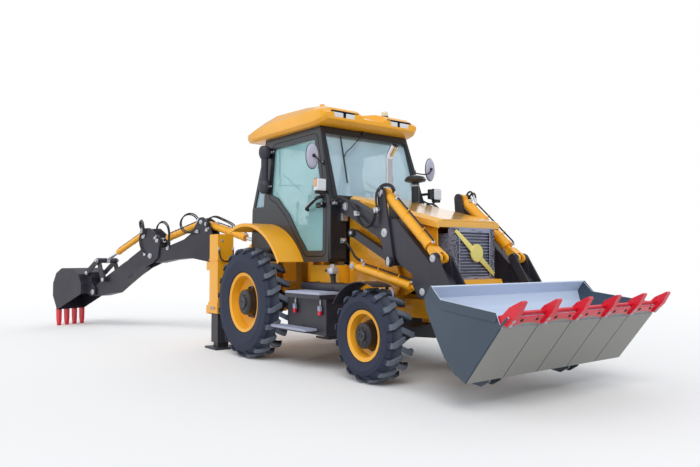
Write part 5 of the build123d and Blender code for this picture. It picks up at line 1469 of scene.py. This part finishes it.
@dataclass
class Bodywork(Assembly):
    """Small parts of the bodywork: latches, mudguard stays, exhaust tip, filter clamp and beam bolts.

    Attributes:
        guard: Radius of the front mudguards over their axle.
        axle: X and Z of the front axle.
    """

    guard: float = 0.552
    axle: tuple[float, float] = (2.267, 0.482)

    def build(self) -> None:
        """Makes all of it."""
        self._mudguards()
        self._bonnet()
        self._stacks()
        self._rear()
        self._teeth()

    def _mudguards(self) -> None:
        """Bolts along the top of each front mudguard and its stay."""
        (x, z), parts = self.axle, []
        for degrees in (62.0, 90.0, 118.0):
            turn = math.radians(degrees)
            way = (math.cos(turn), 0.0, math.sin(turn))
            for y in (-0.83, -0.97):
                place = (x + self.guard * way[0], y, z + self.guard * way[2])
                parts.append(turned([(0.011, 0.0), (0.009, 0.004), (0.004, 0.006)], place, way, 12))
        stay = tube([(2.500, -0.800, 0.962), (2.52, -0.79, 0.93), (2.50, -0.775, 0.84), (2.42, -0.76, 0.70),
                     (2.36, -0.74, 0.62)],
                    0.010, 3)
        parts.append(stay)
        self.pair(self.coat(joined(parts), "tread"), "mudguard_bolts", "knuckle")

    def _bonnet(self) -> None:
        """Side latches and the front beam's bolts."""
        parts = []
        for x, z in ((1.60, 1.845), (2.55, 1.62)):
            plate = block((x - 0.035, -0.478, z - 0.012), (x + 0.035, -0.4695, z + 0.012), 0.003)
            inset(plate, facing(RIGHT), 0.005, 0.004)
            parts.append(plate)
        latches = self.both(joined(parts))
        self.mount(latches, "bonnet_latches", "chassis", "black")
        bolts = []
        for y in (-0.25, -0.12, 0.12, 0.25):
            bolts.append(hexed((3.0103, y, 0.86), AHEAD, 0.016, 0.011))
        self.mount(joined(bolts), "beam_bolts", "chassis", "zinc")

    def _stacks(self) -> None:
        """The exhaust's dark mouth, and the air cleaner's clamp and wing nut."""
        mouth = turned([(0.0395, -0.01), (0.0395, 0.0055), (0.035, 0.0055), (0.034, -0.006)], (1.945, -0.25, 2.555),
                       (0.72, 0.0, 0.69), 32)
        clamp = turned([(0.0465, 0.0), (0.0465, 0.022), (0.0435, 0.024)], (1.85, -0.25, 2.02), UP, 32)
        screw = hexed((1.85, -0.297, 2.031), RIGHT, 0.008, 0.010, washer=False)
        self.mount(joined([mouth, clamp, screw]), "exhaust_mouth", "chassis", "rubber")
        band = turned([(0.0505, 0.0), (0.0505, 0.018), (0.0475, 0.020)], (1.70, 0.30, 2.145), UP, 32)
        lug = block((1.744, 0.288, 2.146), (1.768, 0.312, 2.162), 0.003)
        nut = turned([(0.014, 0.0), (0.014, 0.008), (0.006, 0.012)], (1.70, 0.30, 2.2785), UP, 16)
        self.mount(joined([band, lug, nut]), "filter_clamp", "chassis", "zinc")

    def _rear(self) -> None:
        """Bolts of the stabilisers' columns."""
        bolts = []
        for z in (0.632, 1.518):
            for y in ((-0.900, -1.020) if z < 1.0 else (-1.012,)):
                bolts.append(hexed((-0.8397 + (0.014 if z < 1.0 else 0.0), y, z), AHEAD, 0.015, 0.012))
        bolts.append(hexed((-1.00, -1.1043, 0.575), RIGHT, 0.017, 0.012))
        bolts.append(hexed((-0.92, -1.1043, 0.575), RIGHT, 0.017, 0.012))
        self.mount(self.both(joined(bolts)), "column_bolts", "chassis", "zinc")

    def _teeth(self) -> None:
        """The red bar along the loading bucket's edge, and the bolts through it and the teeth."""
        along, out = Vector((0.6977, 0.0, 0.7163)), Vector((0.7163, 0.0, -0.6977))
        edge, places = Vector((4.170, 0.0, 0.735)), (-1.108, -0.6648, -0.2216, 0.2216, 0.6648, 1.108)
        line = [(-1.150, 0.120), (-1.150, 0.030)]
        for y, after in zip(places, (*places[1:], None)):
            line += [(y + 0.075, 0.030)] if y < -1.1 else [(y - 0.075, 0.030), (y + 0.075, 0.030)] if after else []
            if after:
                middle = (y + after) / 2
                line += [(middle - 0.085, 0.050), (middle, 0.058), (middle + 0.085, 0.050)]
        line += [(places[-1] - 0.075, 0.030), (1.150, 0.030), (1.150, 0.120)]
        bar = prism(line, tuple(edge + out * 0.006), LEFT, tuple(along), 0.011)
        self.mount(rounded(bar, 0.0015, 1), "edge_bar", "loader_bucket", "red")
        bolts, dark = [], []
        for y in places:
            for ahead, beyond in ((0.055, 0.0295), (0.100, 0.0290)):
                bolts.append(hexed(tuple(edge + Vector((0.0, y, 0.0)) + along * ahead + out * beyond), tuple(out),
                                   0.014, 0.007))
            for aside in (-0.125, 0.125):
                if abs(y + aside) < 1.15:
                    dark.append(hexed(tuple(edge + Vector((0.0, y + aside, 0.0)) + along * 0.088 + out * 0.0112),
                                      tuple(out), 0.013, 0.006))
        self.mount(joined(bolts), "tooth_bolts", "loader_bucket", "zinc")
        self.mount(joined(dark), "edge_bolts", "loader_bucket", "rubber")


@dataclass
class Roof(Assembly):
    """The cab's roof with rounded edges and a low aerial knob.

    Attributes:
        knob: Where the knob's middle is.
        drop: How much lower the knob is than its solid.
        edge: Width of the rounded edges.
    """

    knob: tuple[float, float] = (0.960, -0.570)
    drop: float = 0.058
    edge: float = 0.012

    def build(self) -> None:
        """Makes the roof from a merged copy of its node."""
        piece = bpy.data.objects.new("roof_shell", bpy.data.objects["cab_roof"].data.copy())
        bpy.context.scene.collection.objects.link(piece)
        pick(piece, everywhere)
        bpy.ops.mesh.remove_doubles(threshold=MERGE)
        bpy.ops.mesh.dissolve_limited(angle_limit=math.radians(0.5))
        bpy.ops.object.mode_set(mode="OBJECT")
        pick(piece, lambda middle, normal: middle.z > 3.155 and math.dist(middle.xy, self.knob) < 0.035)
        bpy.ops.transform.translate(value=(0.0, 0.0, -self.drop))
        bpy.ops.object.mode_set(mode="OBJECT")
        rounded(piece, self.edge, 3, 24.0)
        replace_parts(self.mount(piece, "roof_shell", "chassis", "yellow", 40.0), "cab_roof")


@dataclass(frozen=True)
class Ram:
    """Where one barrel lies.

    Attributes:
        body: The body that it belongs to.
        tail: Its tail's pin.
        way: Direction from the tail to the rod.
        up: Direction of the side that carries its pipe.
        radius: The barrel's radius.
        length: The barrel's length.
        paired: Whether the machine's other side has the same one.
    """

    body: str
    tail: Point
    way: Point
    up: Point
    radius: float
    length: float
    paired: bool = False

    def at(self, along: float, above: float, aside: float = 0.0) -> Point:
        """A point by its distance along the barrel, above its axis and to its side."""
        way, up = Vector(self.way), Vector(self.up)
        return tuple(Vector(self.tail) + way * along + up * above + way.cross(up) * aside)


RAMS: dict[str, Ram] = {
    "tilt": Ram("tilt_barrels", (2.200, -0.595, 1.975), (0.7503, 0.0, -0.6612), (0.6612, 0.0, 0.7503), 0.060, 0.880,
                True),
    "lift": Ram("lift_barrels", (1.640, -0.595, 1.184), (0.9786, 0.0, -0.2058), (0.2058, 0.0, 0.9786), 0.048, 0.970,
                True),
    "boom": Ram("boom_barrel", hoe_point(1.150, 0.0, 1.835), hoe_way(-0.9567, 0.0, -0.2910),
                hoe_way(-0.2910, 0.0, 0.9567), 0.062, 0.800),
    "dipper": Ram("dipper_barrel", hoe_point(1.264, 0.0, 1.873), hoe_way(0.9593, 0.0, -0.2822),
                  hoe_way(0.2822, 0.0, 0.9593), 0.058, 0.880),
    "dig": Ram("dig_barrel", hoe_point(2.613, 0.0, 1.753), hoe_way(0.9011, 0.0, -0.4336),
               hoe_way(0.4336, 0.0, 0.9011), 0.050, 0.850),
}


@dataclass
class RamPipes(Assembly):
    """Ports, steel pipes and their clamps on the barrels.

    Attributes:
        pipe: The steel pipe's radius.
        first: Distance of the tail's port from the tail's pin.
    """

    pipe: float = 0.009
    first: float = 0.135

    def build(self) -> None:
        """Pipes every ram."""
        for name, ram in RAMS.items():
            dark, bright, bands = [], [], []
            end, aside = ram.length + 0.035, 0.022
            for along, side in ((self.first, -aside), (self.first + 0.055, aside), (end - 0.02, aside)):
                bright.append(turned([(0.019, -0.006), (0.019, 0.010), (0.015, 0.014)],
                                     ram.at(along, ram.radius, side), ram.up, 16))
            bright.append(hexed(ram.at(self.first, ram.radius + 0.012, -aside), ram.up, 0.015, 0.016, washer=False))
            bright.append(hexed(ram.at(self.first + 0.055, ram.radius + 0.012, aside), ram.up, 0.015, 0.016,
                                washer=False))
            line = ram.radius + 0.021
            dark.append(tube([ram.at(self.first + 0.055, ram.radius + 0.008, aside),
                              ram.at(self.first + 0.062, line, aside),
                              ram.at(self.first + 0.12, line, aside), ram.at((self.first + end) / 2, line, aside),
                              ram.at(end - 0.09, line, aside), ram.at(end - 0.025, line, aside),
                              ram.at(end - 0.020, ram.radius + 0.004, aside)], self.pipe, 3))
            for share in (0.33, 0.78):
                along = self.first + 0.06 + share * (end - self.first - 0.12)
                bands.append(self._band(ram, along))
                saddle = tube([ram.at(along + 0.008, ram.radius - 0.001, aside - 0.018),
                               ram.at(along + 0.008, line + 0.008, aside - 0.014),
                               ram.at(along + 0.008, line + 0.012, aside),
                               ram.at(along + 0.008, line + 0.008, aside + 0.014),
                               ram.at(along + 0.008, ram.radius - 0.003, aside + 0.018)], 0.005, 2)
                bands.append(saddle)
            for parts, what, key in ((dark, "pipes", "rubber"), (bright, "ports", "zinc"),
                                     (bands, "bands", "yellow")):
                piece = joined(parts)
                self.mount(self.both(piece) if ram.paired else piece, f"{name}_{what}", ram.body, key)

    @staticmethod
    def _band(ram: Ram, along: float) -> Piece:
        """A thin ring round the barrel, hollow so that the rod has room."""
        ring = turned([(ram.radius + 0.001, 0.0), (ram.radius + 0.003, 0.001), (ram.radius + 0.003, 0.021),
                       (ram.radius + 0.001, 0.022)], ram.at(along, 0.0), ram.way, 40)
        pick(ring, lambda middle, normal: abs(normal.dot(Vector(ram.way))) > FLAT)
        bpy.ops.mesh.inset(thickness=0.0008)
        bpy.ops.mesh.bridge_edge_loops()
        bpy.ops.object.mode_set(mode="OBJECT")
        return ring


@dataclass(frozen=True)
class Hose:
    """One hose between two places.

    Attributes:
        name: Its name.
        bodies: The body at its start and the one at its end.
        points: The control points of its line.
        spread: How far the second hose of a pair lies from the first, or nothing for a single one.
        bend: Where it leaves its first body's motion, and where it has taken the second one's. Not used.
        paired: Whether the machine's other side has the same ones.
    """

    name: str
    bodies: tuple[str, str]
    points: Sequence[Point]
    spread: Point | None = None
    bend: tuple[int, int] = (0, -1)
    paired: bool = False


def hoe_line(*places: Point) -> list[Point]:
    """Points of the digging arm's plane in the row frame."""
    return [hoe_point(*place) for place in places]


@dataclass
class Hoses(Assembly):
    """Rubber hoses that cross the joints.

    Attributes:
        radius: A hose's radius.
        runs: The hoses.
    """

    radius: float = 0.011
    runs: Sequence[Hose] = (
        Hose("tilt_feed", ("chassis", "loader_arms"),
             ((1.412, -0.690, 1.905), (1.460, -0.700, 1.950), (1.540, -0.705, 1.975), (1.640, -0.700, 1.935),
              (1.730, -0.690, 1.850), (1.800, -0.674, 1.765)), (0.0, -0.026, 0.0), (1, -2), True),
        Hose("tilt_loop", ("loader_arms", "tilt_levers"),
             ((1.800, -0.674, 1.765), (1.850, -0.695, 1.705), (1.930, -0.715, 1.645), (2.020, -0.725, 1.600),
              (2.105, -0.725, 1.620), (2.150, -0.715, 1.690), (2.165, -0.700, 1.790)), (0.0, -0.026, 0.0), (2, -1),
             True),
        Hose("tilt_top", ("tilt_levers", "tilt_barrels"),
             ((2.165, -0.700, 1.790), (2.145, -0.705, 1.880), (2.150, -0.700, 1.985), (2.210, -0.675, 2.055),
              (2.290, -0.645, 2.060), (2.345, -0.612, 2.015), (2.350, -0.600, 1.955)), (0.026, -0.020, -0.020),
             (1, -2), True),
        Hose("lift_feed", ("chassis", "lift_barrels"),
             ((1.412, -0.585, 1.470), (1.480, -0.580, 1.440), (1.560, -0.580, 1.365), (1.630, -0.582, 1.285),
              (1.700, -0.585, 1.245), (1.765, -0.585, 1.240), (1.783, -0.583, 1.222)), (0.030, -0.026, 0.014),
             (1, -2), True),
        Hose("slew_feed", ("chassis", "kingpost"),
             ((-1.225, 0.110, 1.480), (-1.290, 0.118, 1.455), (-1.370, 0.115, 1.430), (-1.425, 0.080, 1.400),
              (-1.455, 0.055, 1.330), (-1.462, 0.045, 1.250)), (0.022, 0.004, 0.0), (1, -2)),
        Hose("boom_feed", ("kingpost", "boom"),
             hoe_line((0.100, 0.152, 1.150), (0.190, 0.150, 1.230), (0.300, 0.140, 1.285), (0.420, 0.120, 1.310),
                      (0.520, 0.105, 1.300), (0.610, 0.085, 1.262)), (0.0, 0.0, 0.028), (1, -2)),
        Hose("boom_link", ("boom", "boom_barrel"),
             hoe_line((1.120, -0.114, 1.740), (1.110, -0.140, 1.840), (1.060, -0.140, 1.930), (0.950, -0.115, 1.955),
                      (0.830, -0.075, 1.900), (0.720, -0.040, 1.850), (0.640, -0.025, 1.800), (0.606, -0.020, 1.756)),
             (0.010, 0.026, 0.012), (1, -2)),
        Hose("dipper_link", ("boom", "dipper_barrel"),
             hoe_line((1.344, -0.114, 1.715), (1.450, -0.150, 1.690), (1.560, -0.160, 1.700), (1.652, -0.155, 1.752),
                      (1.700, -0.145, 1.845), (1.680, -0.125, 1.945), (1.600, -0.095, 2.010), (1.497, -0.060, 2.005),
                      (1.425, -0.030, 1.945), (1.408, -0.022, 1.890)), (0.024, 0.010, 0.020), (1, -2)),
        Hose("dig_feed", ("boom", "dipper"),
             hoe_line((2.020, -0.114, 1.440), (1.960, -0.150, 1.560), (1.925, -0.170, 1.700), (1.960, -0.178, 1.830),
                      (2.070, -0.178, 1.895), (2.190, -0.172, 1.860), (2.250, -0.160, 1.750), (2.285, -0.143, 1.620)),
             (0.020, 0.008, 0.020), (1, -2)),
        Hose("dig_link_feed", ("dipper", "dig_barrel"),
             hoe_line((2.580, -0.143, 1.640), (2.560, -0.165, 1.740), (2.570, -0.168, 1.840), (2.620, -0.150, 1.915),
                      (2.700, -0.115, 1.935), (2.770, -0.065, 1.895), (2.790, -0.030, 1.825), (2.768, -0.024, 1.762)),
             (0.022, 0.012, 0.018), (1, -2)),
        Hose("dipper_side", ("dipper", "dipper"),
             hoe_line((2.620, -0.141, 1.740), (2.665, -0.152, 1.660), (2.660, -0.152, 1.530), (2.610, -0.152, 1.420),
                      (2.540, -0.141, 1.335))),
        Hose("column_loop", ("chassis", "chassis"),
             ((-0.824, -1.072, 1.420), (-0.806, -1.074, 1.335), (-0.800, -1.047, 1.252), (-0.800, -0.9625, 1.216),
              (-0.800, -0.878, 1.252), (-0.806, -0.851, 1.335), (-0.824, -0.853, 1.420)), None, (0, -1), True),
    )

    def build(self) -> None:
        """Makes every hose, and the crimped ferrules at their ends."""
        self.ends: dict[str, list[Piece]] = {}
        for hose in self.runs:
            lines = [hose.points]
            if hose.spread:
                lines.append([tuple(a + b for a, b in zip(point, hose.spread)) for point in hose.points])
            if hose.paired:
                lines += [[(x, -y, z) for x, y, z in line] for line in list(lines)]
            for number, line in enumerate(lines):
                self._run(hose, f"{hose.name}_hose_{number}", line)
        for body, ends in self.ends.items():
            self.mount(joined(ends), f"ferrules_{body}", body, "zinc")

    def _run(self, hose: Hose, name: str, line: Sequence[Point]) -> None:
        """One hose: a rubber tube and its ferrules, mounted on its body when both its ends lie on the same one."""
        path = centres(line)
        for body, near, far in zip(hose.bodies, (0, -1), (2, -3)):
            way = Vector(path[far]) - Vector(path[near])
            end = turned([(0.0145, -0.004), (0.0145, 0.022), (0.0125, 0.026), (0.0125, 0.034), (0.0105, 0.038)],
                         path[near], tuple(way), 14)
            self.ends.setdefault(body, []).append(end)
        piece = self.coat(tube(line, self.radius, 3), "hose")
        hold(piece)
        bpy.ops.object.shade_smooth_by_angle(angle=math.radians(40.0))
        piece.name = piece.data.name = name
        if hose.bodies[0] == hose.bodies[1]:
            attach(piece, hose.bodies[0])
        else:
            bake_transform(piece)


@dataclass
class Clamps(Assembly):
    """Blocks that hold the hoses where they pass from one part to the next.

    Attributes:
        blocks: Body, middle and half size of each block on the right side of the loader.
        hoe: Body, middle in the digging arm's plane and half size of each block there.
    """

    blocks: Sequence[tuple[str, Point, Point]] = (
        ("loader_arms", (1.800, -0.686, 1.765), (0.020, 0.031, 0.022)),
        ("tilt_levers", (2.165, -0.710, 1.790), (0.022, 0.029, 0.020)),
        ("chassis", (1.404, -0.702, 1.900), (0.010, 0.034, 0.022)),
        ("chassis", (1.410, -0.590, 1.477), (0.016, 0.040, 0.030)))
    hoe: Sequence[tuple[str, Point, Point]] = (
        ("boom", (0.612, 0.080, 1.262), (0.022, 0.030, 0.034)),
                                               ("boom", (1.125, -0.110, 1.735), (0.026, 0.016, 0.022)),
        ("boom", (1.330, -0.110, 1.715), (0.022, 0.016, 0.026)),
                                               ("boom", (2.016, -0.108, 1.436), (0.028, 0.016, 0.024)),
        ("dipper", (2.585, -0.138, 1.645), (0.032, 0.014, 0.026)),
                                               ("dipper", (2.290, -0.138, 1.622), (0.028, 0.014, 0.022)),
        ("dipper", (2.545, -0.138, 1.335), (0.024, 0.014, 0.022)),
                                               ("kingpost", (0.095, 0.146, 1.155), (0.022, 0.014, 0.034)))

    def build(self) -> None:
        """Makes the blocks."""
        parts: dict[str, list[Piece]] = {}
        for body, middle, half in self.blocks:
            lump = self._lump(middle, half)
            inset(lump, facing(RIGHT), 0.005, -0.003)
            parts.setdefault(body, []).append(self.both(lump))
        turn = Matrix(((-math.cos(SLEW), -math.sin(SLEW), 0.0, KING_X), (-math.sin(SLEW), math.cos(SLEW), 0.0, 0.0),
                       (0.0, 0.0, 1.0, 0.0), (0.0, 0.0, 0.0, 1.0)))
        for body, middle, half in self.hoe:
            lump = self._lump(middle, half)
            inset(lump, facing(LEFT, RIGHT), 0.005, -0.003)
            lump.data.transform(turn)
            lump.data.flip_normals()
            parts.setdefault(body, []).append(lump)
        for body, lumps in parts.items():
            self.mount(joined(lumps), f"hose_blocks_{body}", body, "zinc")

    @staticmethod
    def _lump(middle: Point, half: Point) -> Piece:
        """A block by its middle and half size."""
        return block([a - b for a, b in zip(middle, half)], [a + b for a, b in zip(middle, half)], 0.005)


@dataclass
class Studio:
    """Floor, light and camera.

    Attributes:
        eye: The camera's place.
        yaw: Direction that it looks in, from +X towards +Y, in degrees.
        pitch: How far it looks up, in degrees.
        lens: Focal length in millimetres on a 36 mm sensor.
    """

    eye: Point = (7.361, -5.078, 1.270)
    yaw: float = 142.326
    pitch: float = 2.230
    lens: float = 32.84

    def build(self) -> None:
        """Makes all of it."""
        self._floor()
        self._lights()
        self._camera()
        view = bpy.context.scene.view_settings
        view.view_transform = "Standard"

    @staticmethod
    def _backdrop() -> bpy.types.Material:
        """A pale matt floor that stays white to the camera apart from soft shadows."""
        material, graph, shader = new_material("studio_floor")
        path = graph.add("ShaderNodeLightPath").outputs
        pale, white = (0.80, 0.80, 0.80, 1.0), (1.0, 1.0, 1.0, 1.0)
        graph.put(shader, {"Roughness": 1.0, "Specular IOR Level": 0.0,
                           "Base Color": graph.mix(path["Is Camera Ray"], pale, white)})
        away = graph.span(graph.length(graph.place()), 6.0, 13.0)
        seen = graph.maths("ADD", path["Is Camera Ray"], path["Is Glossy Ray"])
        share = graph.maths("MULTIPLY", seen, away, clamp=True)
        paper = graph.add("ShaderNodeEmission").outputs[0]
        mix = graph.add("ShaderNodeMixShader", {"Fac": share, 1: shader.outputs[0], 2: paper})
        graph.put(graph.nodes["Material Output"], {"Surface": mix.outputs[0]})
        return material

    def _floor(self) -> None:
        """A wide level floor."""
        deselect()
        bpy.ops.mesh.primitive_plane_add(size=160.0, location=(0.0, 0.0, -0.002))
        floor = bpy.context.object
        floor.name = "studio_floor"
        floor.data.materials.append(self._backdrop())

    @staticmethod
    def _lights() -> None:
        """A pale sky and three soft lamps."""
        world = bpy.data.worlds.new("studio_sky")
        bpy.context.scene.world = world
        world.use_nodes = True
        graph = Graph(world.node_tree)
        graph.nodes.clear()
        sky = graph.add("ShaderNodeBackground", {"Color": (0.93, 0.96, 1.0, 1.0), "Strength": 0.58}).outputs[0]
        paper = graph.add("ShaderNodeBackground", {"Color": (1.0, 1.0, 1.0, 1.0), "Strength": 1.0}).outputs[0]
        path = graph.add("ShaderNodeLightPath").outputs
        seen = graph.maths("ADD", path["Is Camera Ray"], path["Is Transmission Ray"], clamp=True)
        mix = graph.add("ShaderNodeMixShader", {"Fac": seen, 1: sky, 2: paper})
        graph.add("ShaderNodeOutputWorld", {"Surface": mix.outputs[0]})
        for name, place, wide, power in (("key", (7.0, -6.0, 10.0), 35.0, 1.25),
                                         ("fill", (-6.0, -8.0, 6.0), 60.0, 0.45),
                                         ("rear", (-4.0, 9.0, 7.0), 60.0, 0.35)):
            light = bpy.data.lights.new(name, "SUN")
            light.angle, light.energy = math.radians(wide), power
            holder = bpy.data.objects.new(name, light)
            bpy.context.scene.collection.objects.link(holder)
            holder.location = place
            holder.rotation_euler = (Vector((0.6, 0.0, 1.0)) - Vector(place)).to_track_quat("-Z", "Y").to_euler()

    def _camera(self) -> None:
        """The camera at the photograph's place and angle."""
        yaw, pitch = math.radians(self.yaw), math.radians(self.pitch)
        ahead = Vector((math.cos(yaw) * math.cos(pitch), math.sin(yaw) * math.cos(pitch), math.sin(pitch)))
        camera = bpy.data.objects.new("camera", bpy.data.cameras.new("camera"))
        bpy.context.scene.collection.objects.link(camera)
        camera.location = self.eye
        camera.rotation_euler = ahead.to_track_quat("-Z", "Y").to_euler()
        camera.data.sensor_width, camera.data.lens = 36.0, self.lens
        camera.data.clip_start, camera.data.clip_end = 0.05, 400.0
        bpy.context.scene.camera = camera


def main() -> None:
    """Builds everything in order."""
    logging.basicConfig(level=logging.INFO, format="%(name)s: %(message)s")
    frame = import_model()
    shop = Paintshop(NodeGroups())
    shop.dress_nodes(frame["nodes"])
    Studio().build()
    for assembly in (Hoses, RamPipes, Clamps, PinHeads, WheelFittings, Lamps, Mirrors, DriverPlace, Grille,
                     CabFittings, Steps, Bodywork, Roof):
        assembly(shop).build()
        LOG.info("%s is built", assembly.__name__)


if __name__ == "__main__":
    main()
